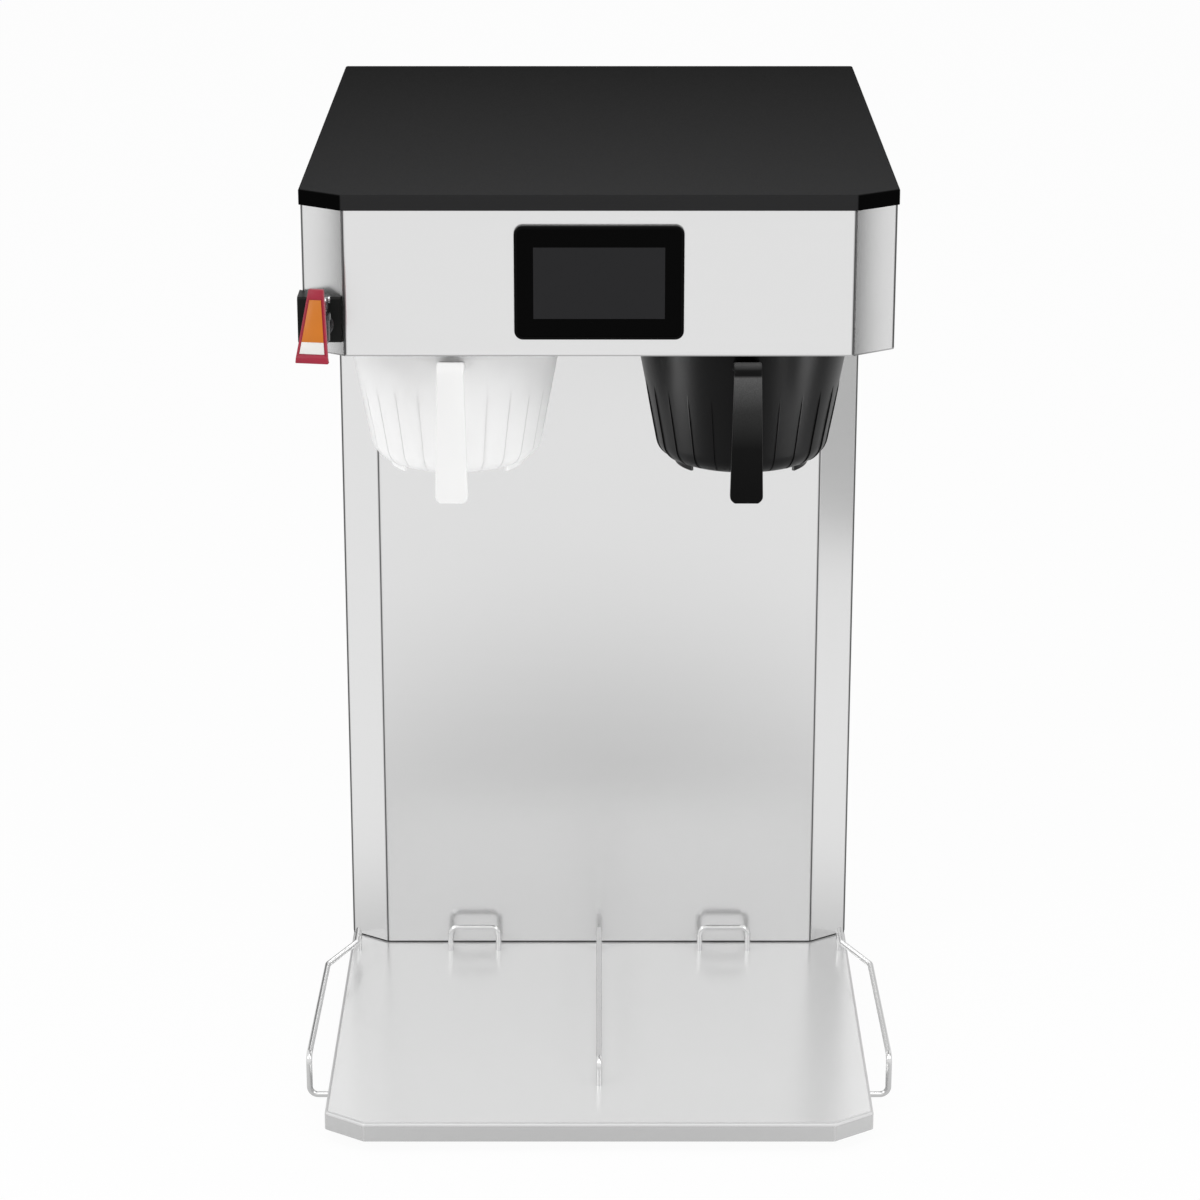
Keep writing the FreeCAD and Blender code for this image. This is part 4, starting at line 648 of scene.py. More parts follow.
class Bench:
    """Hand tools for the one mesh that is open in edit mode."""

    @staticmethod
    def clear() -> None:
        """Leave edit mode and deselect every object."""
        if bpy.context.mode != "OBJECT":
            bpy.ops.object.mode_set(mode="OBJECT")
        bpy.ops.object.select_all(action="DESELECT")

    @staticmethod
    def open(name: str) -> bpy.types.Object:
        """Name the object just added, put its place into its mesh and open it with everything selected.

        Args:
            name: Name of the new piece.

        Returns:
            The piece.
        """
        piece = bpy.context.object
        piece.name = name
        piece.data.name = name
        bpy.ops.object.transform_apply(location=True, rotation=True, scale=True)
        bpy.ops.object.mode_set(mode="EDIT")
        Bench.pick_all()
        return piece

    @staticmethod
    def panel(name: str, centre: Point, size: Point, stand: Stand = Stand.FLAT) -> bpy.types.Object:
        """Start a piece from a flat rectangle.

        Args:
            name: Name of the new piece.
            centre: Middle of the rectangle.
            size: Its lengths along x, y and z, with 1 where it is flat.
            stand: How it stands.

        Returns:
            The piece, open with everything selected.
        """
        Bench.clear()
        bpy.ops.mesh.primitive_plane_add(size=1.0, location=centre, rotation=stand.value)
        piece = Bench.open(name)
        Bench.size(*size, centre)
        return piece

    @staticmethod
    def ring(name: str, radius: float, centre: Point, sides: int, fill: str = "NOTHING") -> bpy.types.Object:
        """Start a piece from a level ring.

        Args:
            name: Name of the new piece.
            radius: Radius of the ring.
            centre: Its centre.
            sides: Number of sides.
            fill: NOTHING for an open ring, NGON for a disc.

        Returns:
            The piece, open with everything selected.
        """
        Bench.clear()
        bpy.ops.mesh.primitive_circle_add(vertices=sides, radius=radius, fill_type=fill, location=centre)
        return Bench.open(name)

    @staticmethod
    def pick_all() -> None:
        """Select the whole mesh."""
        bpy.ops.mesh.select_all(action="SELECT")

    @staticmethod
    def pick(test: Callable[[Vector, Vector], bool], kind: Kind = Kind.FACE) -> None:
        """Select points, edges or faces by place and direction.

        Args:
            test: Says whether an item is selected, from its centre and its normal, or an edge's direction.
            kind: Kind of item.
        """
        mesh = bpy.context.object.data
        bpy.ops.mesh.select_mode(type=kind.value[0])
        bpy.ops.mesh.select_all(action="DESELECT")
        grid = bmesh.from_edit_mesh(mesh)
        for item in getattr(grid, kind.value[1]):
            if kind is Kind.POINT:
                chosen = test(item.co, item.normal)
            elif kind is Kind.EDGE:
                ends = [point.co for point in item.verts]
                chosen = test((ends[0] + ends[1]) / 2, (ends[1] - ends[0]).normalized())
            else:
                chosen = test(item.calc_center_median(), item.normal)
            item.select_set(chosen)
        grid.select_flush_mode()
        bmesh.update_edit_mesh(mesh)

    @staticmethod
    def pull(x: float, y: float, z: float) -> None:
        """Extrude the selection along a vector."""
        bpy.ops.mesh.extrude_region_move(TRANSFORM_OT_translate={"value": (x, y, z)})

    @staticmethod
    def move(x: float, y: float, z: float) -> None:
        """Move the selection along a vector."""
        bpy.ops.transform.translate(value=(x, y, z))

    @staticmethod
    def size(x: float, y: float, z: float, about: Point) -> None:
        """Scale the selection about a point."""
        bpy.ops.transform.resize(value=(x, y, z), center_override=about)

    @staticmethod
    def turn(degrees: float, axis: str, about: Point) -> None:
        """Turn the selection right-handed about an axis through a point."""
        bpy.ops.transform.rotate(value=-math.radians(degrees), orient_axis=axis, center_override=about)

    @staticmethod
    def soften(width: float, steps: int = 3) -> None:
        """Round the selected edges."""
        bpy.ops.mesh.bevel(offset=width, segments=steps, profile=0.5, affect="EDGES")

    @staticmethod
    def rings(steps: Sequence[Tuple[float, float]], axis: Point) -> None:
        """Carry the selected ring through further rings, extruding and scaling it each time.

        Args:
            steps: Radius and height of each ring, the selected one first.
            axis: Any point of the upright axis.
        """
        for (wide, low), (radius, height) in zip(steps, steps[1:]):
            Bench.pull(0.0, 0.0, height - low)
            share = radius / wide
            Bench.size(share, share, 1.0, axis)

    @staticmethod
    def wind(degrees: float, steps: int, centre: Point, axis: Point) -> None:
        """Spin the selection about an axis through a centre, right-handed about that axis."""
        bpy.ops.mesh.spin(angle=-math.radians(degrees), steps=steps, center=centre, axis=axis)

    @staticmethod
    def repeat(count: int, degrees: float, about: Point) -> None:
        """Copy the selection round an upright axis, turning each copy on from the one before.

        Args:
            count: Number of copies.
            degrees: Turn from one to the next.
            about: Point of the axis.
        """
        for _ in range(count):
            bpy.ops.mesh.duplicate()
            Bench.turn(degrees, "Z", about)

    @staticmethod
    def join(parts: Sequence[bpy.types.Object]) -> None:
        """Join parts into the first one and open it again.

        Args:
            parts: Objects to join.
        """
        Bench.clear()
        for part in parts:
            part.select_set(True)
        bpy.context.view_layer.objects.active = parts[0]
        bpy.ops.object.join()
        bpy.ops.object.mode_set(mode="EDIT")

    @staticmethod
    def combine(piece: bpy.types.Object, tool: bpy.types.Object, operation: str = "DIFFERENCE") -> None:
        """Cut a tool out of a mesh, or weld it to it, then throw the tool away and open the mesh.

        Args:
            piece: Mesh that is worked on.
            tool: Mesh that is taken out of it or added to it.
            operation: DIFFERENCE to cut, UNION to weld.
        """
        Bench.clear()
        piece.select_set(True)
        bpy.context.view_layer.objects.active = piece
        work = piece.modifiers.new("work", "BOOLEAN")
        work.object = tool
        work.operation = operation
        work.solver = "EXACT"
        bpy.ops.object.modifier_apply(modifier=work.name)
        bpy.data.objects.remove(tool)
        bpy.ops.object.mode_set(mode="EDIT")
        Bench.pick_all()

    @staticmethod
    def merge() -> None:
        """Join doubled points and make all faces look outwards."""
        Bench.pick_all()
        bpy.ops.mesh.remove_doubles(threshold=HAIR)
        bpy.ops.mesh.normals_make_consistent(inside=False)


def box_middle(low: Point, high: Point) -> Point:
    """Centre of a box between two corners."""
    return tuple((start + end) / 2 for start, end in zip(low, high))


@dataclass(frozen=True)
class Piece:
    """What a modelled piece is to the brewer: its name, finish, body and the solids that it stands for."""

    name: str
    finish: Finish
    body: Body
    stands_for: Tuple[str, ...]
    crease: float = 32.0

    def done(self) -> bpy.types.Object:
        """Close the open mesh and hand it over as this piece.

        Returns:
            The finished object.
        """
        Bench.merge()
        bpy.ops.object.mode_set(mode="OBJECT")
        made = bpy.context.object
        bpy.ops.object.shade_smooth_by_angle(angle=math.radians(self.crease))
        made.data.materials.clear()
        made.data.materials.append(self.finish.material())
        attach(made, self.body.value)
        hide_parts(*self.stands_for)
        LOG.info("%s: %d faces in %s", self.name, len(made.data.polygons), self.finish.name)
        return made


@dataclass
class Funnel:
    """One brew funnel: a ribbed bowl with runners, feet and an outlet, and its paddle handle."""

    side: str
    finish: Finish
    grip: Finish
    body: Body
    x: float
    y: float = -170.4753 * MM
    rim: float = 755.0 * MM
    top_radius: float = 95.5 * MM
    low_radius: float = 73.1 * MM
    depth: float = 117.0 * MM
    corner: float = 22.0 * MM
    wall: float = 3.0 * MM
    outlet: float = 9.0 * MM
    bore: float = 5.0 * MM
    spout: float = 8.0 * MM
    rib_top: float = 41.0 * MM
    rib_height: float = 1.0 * MM
    rib_width: float = 1.0 * MM
    rib_root: float = 1.2 * MM
    rib_first: float = 20.5
    rib_step: float = 15.0
    rib_sink: float = 0.2 * MM
    ribs: int = 11
    facets: int = 128
    corner_steps: int = 8
    bend_steps: int = 10
    plate_steps: int = 4
    flare: float = 0.3
    foot_radius: float = 59.5 * MM
    foot_wall: float = 2.4 * MM
    foot_drop: float = 4.2 * MM
    foot_first: float = 50.0
    foot_last: float = 84.0
    runner_reach: float = 103.0 * MM
    runner_length: float = 130.0 * MM
    runner_sheet: float = 3.5 * MM
    plate: float = 8.0 * MM
    inner_bend: float = 2.4 * MM
    arm_drop: float = 1.5 * MM
    arm_fall: float = 6.0 * MM
    front: float = -296.4753 * MM
    handle_low: float = 630.0 * MM
    top_width: float = 23.7 * MM
    low_width: float = 28.8 * MM
    handle_round: float = 6.0 * MM
    handle_edge: float = 1.6 * MM

    @property
    def axis(self) -> Point:
        """Point of the bowl's upright axis at its rim."""
        return (self.x, self.y, self.rim)

    @property
    def turn(self) -> Tuple[float, float]:
        """Centre of the handle's bend, as y and z."""
        return (
            self.front + self.plate + self.inner_bend,
            self.rim - self.arm_drop - self.plate - self.inner_bend,
        )

    def wall_line(self, inset: float) -> List[Tuple[float, float]]:
        """Line of the bowl's side from its mouth to the edge of its flat bottom.

        Args:
            inset: Distance inside the outer face.

        Returns:
            Radius and height of each point.
        """
        slope = math.atan2(self.top_radius - self.low_radius, self.depth)
        round_off = math.tan(math.pi / 4 - slope / 2)
        radius = self.corner - inset
        low = self.rim - self.depth + inset
        centre = self.low_radius - inset * round_off - radius * round_off
        line = [(self.top_radius - inset / math.cos(slope), self.rim)]
        for part in range(self.corner_steps + 1):
            angle = -slope - (math.pi / 2 - slope) * part / self.corner_steps
            line.append((centre + radius * math.cos(angle), low + radius + radius * math.sin(angle)))
        return line

    def bowl(self) -> None:
        """Model the bowl ring by ring and join its ribs, feet and runners to it."""
        outside = self.wall_line(0.0)
        inside = self.wall_line(self.wall)
        low = outside[-1][1]
        spout = low - self.spout
        shell = Bench.ring(self.side + "_bowl", self.top_radius, self.axis, self.facets)
        flare = self.outlet * self.flare
        steps = outside + [(self.outlet * (1.0 + self.flare), low), (self.outlet, low - flare)]
        steps += [(self.outlet, spout), (self.bore, spout), (self.bore, inside[-1][1])]
        Bench.rings(steps + inside[::-1] + [outside[0]], self.axis)
        Bench.merge()
        Bench.join([shell, self.rib_set(), self.feet(), self.runners()])
        Piece(self.side + "_bowl", self.finish, self.body, (self.side + "_funnel_bowl",)).done()

    def rib_path(self) -> List[Tuple[float, float, float]]:
        """Line of one rib down the bowl's side.

        Returns:
            Radius, height and rise above the wall at each point, from the top down.
        """
        line = self.wall_line(0.0)
        (mouth, top), (heel, knee) = line[:2]
        path = []
        for share, rise in ((0.0, -self.rib_sink), (0.2, 0.7 * self.rib_height), (0.5, self.rib_height)):
            height = (top - self.rib_top) * (1.0 - share) + knee * share
            path.append((mouth + (heel - mouth) * (top - height) / (top - knee), height, rise))
        path += [(radius, height, self.rib_height) for radius, height in line[1:-3]]
        path.append((line[-3][0], line[-3][1], -self.rib_sink))
        return path

    def rib_set(self) -> bpy.types.Object:
        """Draw one rib down the bowl's front, fading in at its top, and copy it round both sides.

        Returns:
            All ribs in one mesh.
        """
        path = self.rib_path()
        radius, height, rise = path[0]
        centre = (self.x, self.y - radius - (rise - self.rib_root) / 2, height)
        ribs = Bench.panel(self.side + "_ribs", centre, (self.rib_width, rise + self.rib_root, 1.0))
        for (near, above, lift), (far, below, rise) in zip(path, path[1:]):
            Bench.pull(0.0, near - far - (rise - lift) / 2, below - above)
            about = (self.x, self.y - far - (rise - self.rib_root) / 2, below)
            Bench.size(1.0, (rise + self.rib_root) / (lift + self.rib_root), 1.0, about)
        Bench.pick_all()
        Bench.turn(self.rib_first, "Z", self.axis)
        Bench.repeat(self.ribs - 1, self.rib_step, self.axis)
        bpy.ops.mesh.duplicate()
        Bench.turn(-2 * self.rib_first - (self.ribs - 1) * self.rib_step, "Z", self.axis)
        Bench.repeat(self.ribs - 1, -self.rib_step, self.axis)
        return ribs

    def feet(self) -> bpy.types.Object:
        """Spin one curved foot under the bowl and copy it to the four places.

        Returns:
            The four feet in one mesh.
        """
        low = self.rim - self.depth - self.foot_drop
        tall = self.foot_drop + self.corner / 2
        centre = (self.x, self.y - self.foot_radius + self.foot_wall / 2, low + tall / 2)
        feet = Bench.panel(self.side + "_feet", centre, (1.0, self.foot_wall, tall), Stand.FACING_SIDE)
        Bench.turn(self.foot_first, "Z", self.axis)
        Bench.wind(self.foot_last - self.foot_first, self.bend_steps, self.axis, (0.0, 0.0, 1.0))
        Bench.pick_all()
        between = 180.0 - self.foot_last - self.foot_first
        for step in (between, 180.0 - between, between):
            Bench.repeat(1, step, self.axis)
        return feet

    def runners(self) -> bpy.types.Object:
        """Pull the two flat runners out of the rim, straight along their outer edge.

        Returns:
            Both runners in one mesh.
        """
        half = self.runner_length / 2
        inside_wall = self.top_radius - self.wall / 2
        runners = Bench.ring(self.side + "_runners", inside_wall, self.axis, self.facets)
        Bench.pick(lambda at, way: abs(at.y - self.y) > half, Kind.POINT)
        bpy.ops.mesh.delete(type="VERT")
        for way in (-1.0, 1.0):
            edge = self.x + way * self.runner_reach
            Bench.pick(lambda at, _: (at.x - self.x) * way > 0.0 and abs(at.x - edge) > HAIR, Kind.EDGE)
            Bench.pull(0.0, 0.0, 0.0)
            Bench.size(0.0, 1.0, 1.0, (edge, self.y, self.rim))
        Bench.pick_all()
        Bench.pull(0.0, 0.0, -self.runner_sheet)
        return runners

    def handle(self) -> None:
        """Sweep the arm forward, round its bend and down the flared plate, then round its outline."""
        start = self.y - self.top_radius + self.wall
        back = self.front + self.plate
        top = self.rim - self.arm_drop
        turn_y, turn_z = self.turn
        section = (self.x, start, top - self.arm_fall - self.plate / 2)
        Bench.panel(self.side + "_handle", section, (self.top_width, 1.0, self.plate), Stand.FACING_FRONT)
        Bench.pull(0.0, turn_y - start, self.arm_fall)
        Bench.wind(90.0, self.bend_steps, (self.x, turn_y, turn_z), (1.0, 0.0, 0.0))
        spread = (self.low_width - self.top_width) / (turn_z - self.handle_low)
        wide = self.top_width
        drop = (turn_z - self.handle_low) / self.plate_steps
        for _ in range(self.plate_steps):
            Bench.pull(0.0, 0.0, -drop)
            Bench.size((wide + spread * drop) / wide, 1.0, 1.0, (self.x, back, self.handle_low))
            wide += spread * drop
        Bench.merge()
        low = self.handle_low + TOUCH
        Bench.pick(lambda at, way: at.z < low and abs(way.y) > ALIGNED, Kind.EDGE)
        Bench.soften(self.handle_round, 6)
        Bench.pick(self.on_rim, Kind.EDGE)
        Bench.soften(self.handle_edge)
        Piece(self.side + "_handle", self.grip, self.body, (self.side + "_funnel_handle",)).done()

    def on_rim(self, at: Vector, way: Vector) -> bool:
        """Say whether an edge runs along the handle's outline, between its faces and its sides.

        Args:
            at: Middle of the edge.
            way: Its direction.

        Returns:
            True for an edge of the outline, False for one that crosses a face or a side.
        """
        turn_y, turn_z = self.turn
        spoke = Vector((0.0, at.y - turn_y, at.z - turn_z)).normalized()
        in_bend = at.y < turn_y + TOUCH and at.z > turn_z - TOUCH
        level = abs(way.x) > ALIGNED and at.z > self.handle_low + TOUCH
        crossing = abs(way.y) > ALIGNED and at.y < turn_y - self.inner_bend and at.z < turn_z - TOUCH
        at_wall = at.y > self.y - self.top_radius + self.wall - TOUCH
        return not (level or crossing or at_wall or (in_bend and abs(way.dot(spoke)) > ALIGNED))

    def build(self) -> None:
        """Model the bowl and its handle."""
        self.bowl()
        self.handle()


@dataclass
class Lever:
    """Hot water lever: a flared plate with a raised rim, its arm and two colour fields."""

    x: float = -237.5 * MM
    face: float = -330.4725 * MM
    lip_face: float = -350.4725 * MM
    top: float = 828.0 * MM
    foot: float = 773.7 * MM
    low: float = 769.0 * MM
    top_half: float = 6.4 * MM
    low_half: float = 14.3 * MM
    plate: float = 4.2 * MM
    rim: float = 0.6 * MM
    sheet: float = 0.5 * MM
    margin: float = 2.0 * MM
    groove: float = 0.5 * MM
    band_top: float = 820.2 * MM
    tag_top: float = 786.3 * MM
    tag_low: float = 776.5 * MM
    yaw: float = -9.5
    edge: float = 0.9 * MM
    arm_half: float = 4.5 * MM
    arm_rise: float = 4.0 * MM
    arm_edge: float = 0.6 * MM
    pivot_y: float = -299.4725 * MM
    pivot_z: float = 812.0 * MM
    tail: float = 4.5 * MM
    bore: float = 2.1 * MM
    slot_y: float = -309.069 * MM
    slot_length: float = 5.093 * MM
    slot_height: float = 3.9 * MM

    def station(self, height: float) -> Tuple[float, float]:
        """Measure the plate at a height.

        Args:
            height: Height above the counter.

        Returns:
            Half width, and place of the front face along Y.
        """
        share = (self.top - height) / (self.top - self.low)
        slope = min(1.0, (self.top - height) / (self.top - self.foot))
        half = self.top_half + (self.low_half - self.top_half) * share
        return half, self.face + (self.lip_face - self.face) * slope

    def on_outline(self, at: Vector, way: Vector) -> bool:
        """Say whether an edge lies on the plate's outline.

        Args:
            at: Middle of the edge.
            way: Direction of the edge.

        Returns:
            True for the edges down both sides and round both ends.
        """
        beside = abs(abs(at.x - self.x) - self.station(at.z)[0]) < HAIR and abs(way.y) < ALIGNED
        return beside or min(abs(at.z - self.top), abs(at.z - self.low)) < HAIR

    def flared_plate(self) -> bpy.types.Object:
        """Draw the plate down from its top edge, sink the recess, round the outline and turn it.

        Returns:
            The plate.
        """
        upper, lower = self.band_top + self.margin, self.tag_low - self.margin
        heights = (self.top, upper, lower, self.foot, self.low)
        half, face = self.station(self.top)
        deep = self.plate + self.rim
        centre = (self.x, face - self.rim + deep / 2, self.top)
        plate = Bench.panel("hot_water_lever", centre, (2 * half, deep, 1.0))
        for above, below in zip(heights, heights[1:]):
            (wide, near), (wider, far) = self.station(above), self.station(below)
            Bench.pull(0.0, far - near, below - above)
            Bench.size(wider / wide, 1.0, 1.0, (self.x, far, below))
        Bench.merge()
        Bench.pick(lambda at, way: way.y < -ALIGNED and lower < at.z < upper)
        bpy.ops.mesh.inset(thickness=self.margin, depth=-self.rim - self.sheet)
        Bench.pick(self.on_outline, Kind.EDGE)
        Bench.soften(self.edge)
        Bench.pick_all()
        Bench.turn(self.yaw, "Z", (self.x, self.face, self.top))
        return plate

    def arm(self) -> bpy.types.Object:
        """Pull the arm back from the plate, round it, and cut its pivot hole and slot.

        Returns:
            The arm.
        """
        start = self.station(self.pivot_z)[1] + self.plate / 2
        end = self.pivot_y + self.tail
        section = (self.x, start, self.pivot_z)
        across = 4 * self.arm_half
        size = (2 * self.arm_half, 1.0, 2 * self.arm_rise)
        arm = Bench.panel("lever_arm", section, size, Stand.FACING_FRONT)
        Bench.pull(0.0, end - start, 0.0)
        Bench.merge()
        Bench.pick(lambda at, way: abs(way.x) > ALIGNED and at.y > end - HAIR, Kind.EDGE)
        Bench.soften(self.arm_rise / 2, 5)
        Bench.pick(lambda at, way: abs(way.y) > ALIGNED, Kind.EDGE)
        Bench.soften(self.arm_edge, 2)
        Bench.clear()
        pivot = (self.x, self.pivot_y, self.pivot_z)
        bpy.ops.mesh.primitive_cylinder_add(
            vertices=32, radius=self.bore, depth=across, location=pivot, rotation=(0.0, math.pi / 2, 0.0)
        )
        Bench.combine(arm, bpy.context.object)
        Bench.clear()
        slot = (self.x, self.slot_y, self.pivot_z)
        bpy.ops.mesh.primitive_cube_add(
            size=1.0, location=slot, scale=(across, self.slot_length, self.slot_height)
        )
        Bench.combine(arm, bpy.context.object)
        return arm

    def colour_field(self, name: str, finish: Finish, solid: str, top: float, low: float) -> None:
        """Shape one thin field that lies in the plate's recess.

        Args:
            name: Name of the piece.
            finish: Its finish.
            solid: Solid that it stands for.
            top: Height of its upper edge.
            low: Height of its lower edge.
        """
        inset = self.margin + self.groove
        (high_half, high_y), (low_half, low_y) = self.station(top), self.station(low)
        centre = (self.x, (high_y + low_y) / 2, (top + low) / 2)
        Bench.panel(name, centre, (2 * (low_half - inset), 1.0, top - low), Stand.FACING_FRONT)
        Bench.pick(lambda at, _: at.z > centre[2], Kind.POINT)
        Bench.size((high_half - inset) / (low_half - inset), 1.0, 1.0, centre)
        Bench.move(0.0, (high_y - low_y) / 2, 0.0)
        Bench.pick(lambda at, _: at.z < centre[2], Kind.POINT)
        Bench.move(0.0, (low_y - high_y) / 2, 0.0)
        Bench.pick_all()
        inward = Vector((0.0, self.top - self.foot, self.lip_face - self.face)).normalized()
        Bench.pull(*(inward * self.sheet))
        Bench.pick_all()
        Bench.turn(self.yaw, "Z", (self.x, self.face, self.top))
        Bench.merge()
        Bench.pick_all()
        Bench.soften(self.sheet / 4, 2)
        Piece(name, finish, Body.LEVER, (solid,)).done()

    def build(self) -> None:
        """Model the lever and lay in its fields."""
        Bench.join([self.flared_plate(), self.arm()])
        Piece("hot_water_lever", LEVER_RED, Body.LEVER, ("faucet_lever",)).done()
        top, low = self.band_top - self.groove, self.tag_low + self.groove
        self.colour_field("lever_orange_field", FIELD_ORANGE, "lever_band", top, self.tag_top)
        self.colour_field("lever_white_field", FIELD_WHITE, "lever_tag", self.tag_top, low)


@dataclass
class RearFittings:
    """Screws, water inlet and cable gland of the rear cover, each turned upright and laid on the cover."""

    head: float = 4.2 * MM
    head_rise: float = 2.2 * MM
    shank: float = 2.0 * MM
    shank_drop: float = 1.2 * MM
    rows: int = 5
    cross_length: float = 4.6 * MM
    cross_width: float = 1.0 * MM
    cross_depth: float = 1.3 * MM
    hex_radius: float = 10.5 * MM
    hex_height: float = 7.0 * MM
    collar: float = 8.0 * MM
    crest: float = 5.55 * MM
    root: float = 4.9 * MM
    pitch: float = 1.3 * MM
    threads: int = 8
    inlet_bore: float = 3.5 * MM
    inlet_reach: float = 19.3 * MM
    flange_radius: float = 11.0 * MM
    flange_height: float = 4.0 * MM
    gland_reach: float = 14.0 * MM
    cap: float = 9.2 * MM
    cap_bore: float = 5.0 * MM
    rib_share: float = 1.06
    chamfer: float = 0.7 * MM
    origin: ClassVar[Point] = (0.0, 0.0, 0.0)
    # Shares of the head's radius and rise, from its seat to its top
    head_line: ClassVar[Sequence[Tuple[float, float]]] = ((1.0, 0.0), (1.0, 0.5), (0.93, 0.8), (0.78, 1.0))
    # Shares of the cap's radius and the flange's height, up the cap's side
    cap_line: ClassVar[Sequence[Tuple[float, float]]] = ((1.0, 0.2), (1.0, 1.3), (0.98, 2.9))

    def lay(self, x: float, y: float, z: float) -> None:
        """Lay what was turned upright on the cover, facing back.

        Args:
            x: Place across the cover.
            y: Place of the cover's face.
            z: Height above the counter.
        """
        Bench.pick_all()
        Bench.turn(-90.0, "X", self.origin)
        Bench.move(x, y, z)

    def screws(self) -> None:
        """Turn one pan head, cut its cross recess and copy it down both edges."""
        low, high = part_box("cover_screws")
        head, rise = self.head, self.head_rise
        screws = Bench.ring("cover_screw_heads", self.shank, (0.0, 0.0, -self.shank_drop), 32, "NGON")
        steps = [(self.shank, -self.shank_drop), (self.shank, 0.0)]
        steps += [(wide * head, high_share * rise) for wide, high_share in self.head_line]
        Bench.rings(steps, self.origin)
        Bench.merge()
        top = (0.0, 0.0, rise)
        size = (self.cross_length, self.cross_width, 2 * self.cross_depth)
        for angle in (0.0, math.pi / 2):
            Bench.clear()
            bpy.ops.mesh.primitive_cube_add(size=1.0, location=top, rotation=(0.0, 0.0, angle), scale=size)
            Bench.combine(screws, bpy.context.object)
        self.lay(low[0] + head, high[1] - rise, low[2] + head)
        step = (high[2] - low[2] - 2 * head) / (self.rows - 1)
        for _ in range(self.rows - 1):
            bpy.ops.mesh.duplicate()
            Bench.move(0.0, 0.0, step)
        Bench.pick_all()
        bpy.ops.mesh.duplicate()
        Bench.move(high[0] - low[0] - 2 * head, 0.0, 0.0)
        Piece("cover_screw_heads", PLATED, Body.HOUSING, ("cover_screws",)).done()

    def nut(self, radius: float, height: float) -> bpy.types.Object:
        """Draw a hexagon up and chamfer its outer rim.

        Args:
            radius: Radius across its corners.
            height: Its height.

        Returns:
            The hexagon, standing on the cover's face.
        """
        nut = Bench.ring("nut", radius, self.origin, 6, "NGON")
        Bench.pull(0.0, 0.0, height)
        Bench.merge()
        Bench.pick(lambda at, way: at.z > height - HAIR, Kind.EDGE)
        Bench.soften(self.chamfer, 1)
        Bench.clear()
        return nut

    def turned(self, name: str, steps: Sequence[Tuple[float, float]], sides: int) -> bpy.types.Object:
        """Turn a hollow body from a closed line.

        Args:
            name: Name of the piece.
            steps: Radius and height of each ring; the last one meets the first.
            sides: Number of sides.

        Returns:
            The body, open in edit mode.
        """
        radius, height = steps[0]
        body = Bench.ring(name, radius, (0.0, 0.0, height), sides)
        Bench.rings(list(steps) + [steps[0]], self.origin)
        Bench.merge()
        return body

    def inlet(self) -> None:
        """Turn the threaded inlet and weld its hexagon to it."""
        low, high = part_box("inlet_fitting")
        face = high[1] - self.inlet_reach
        tip, inner = self.inlet_reach, low[1] - face
        foot = 0.5 * self.pitch
        steps = [(self.inlet_bore, tip), (self.inlet_bore, inner)]
        steps += [(self.collar, inner), (self.collar, foot), (self.root, foot)]
        for turn in range(self.threads):
            height = self.hex_height + (turn + 0.5) * self.pitch
            steps += [(self.root, height), (self.crest, height + 0.4 * self.pitch)]
            steps += [(self.crest, height + 0.55 * self.pitch), (self.root, height + 0.9 * self.pitch)]
        steps += [(self.root, tip - 0.2 * self.pitch), (0.95 * self.root, tip)]
        body = self.turned("water_inlet", steps, 32)
        Bench.combine(body, self.nut(self.hex_radius, self.hex_height), "UNION")
        x, _, z = box_middle(low, high)
        self.lay(x, face, z)
        Piece("water_inlet", BRASS, Body.HOUSING, ("inlet_fitting",)).done()

    def gland(self) -> None:
        """Turn the gland's cap and tail, raise the ribs of the cap and weld the flange to it."""
        low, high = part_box("cable_gland")
        tail = self.collar
        face = high[1] - self.gland_reach
        tip, inner = self.gland_reach, low[1] - face
        rim = self.flange_height
        steps = [(self.cap_bore, tip), (self.cap_bore, inner), (tail, inner), (tail, 0.2 * rim)]
        steps += [(wide * self.cap, up * rim) for wide, up in self.cap_line]
        steps += [(0.9 * self.cap, 0.97 * tip), (0.8 * self.cap, tip)]
        body = self.turned("cable_gland_cap", steps, 36)
        Bench.pick(
            lambda at, way: 1.3 * rim < at.z < 2.9 * rim and at.xy.length > tail
            and int(math.degrees(math.atan2(at.y, at.x)) // 10) % 3 == 0
        )
        Bench.pull(0.0, 0.0, 0.0)
        Bench.size(self.rib_share, self.rib_share, 1.0, self.origin)
        Bench.combine(body, self.nut(self.flange_radius, rim), "UNION")
        x, _, z = box_middle(low, high)
        self.lay(x, face, z)
        Piece("cable_gland_cap", TRIM_BLACK, Body.HOUSING, ("cable_gland",)).done()

    def build(self) -> None:
        """Model everything on the rear cover."""
        self.screws()
        self.inlet()
        self.gland()


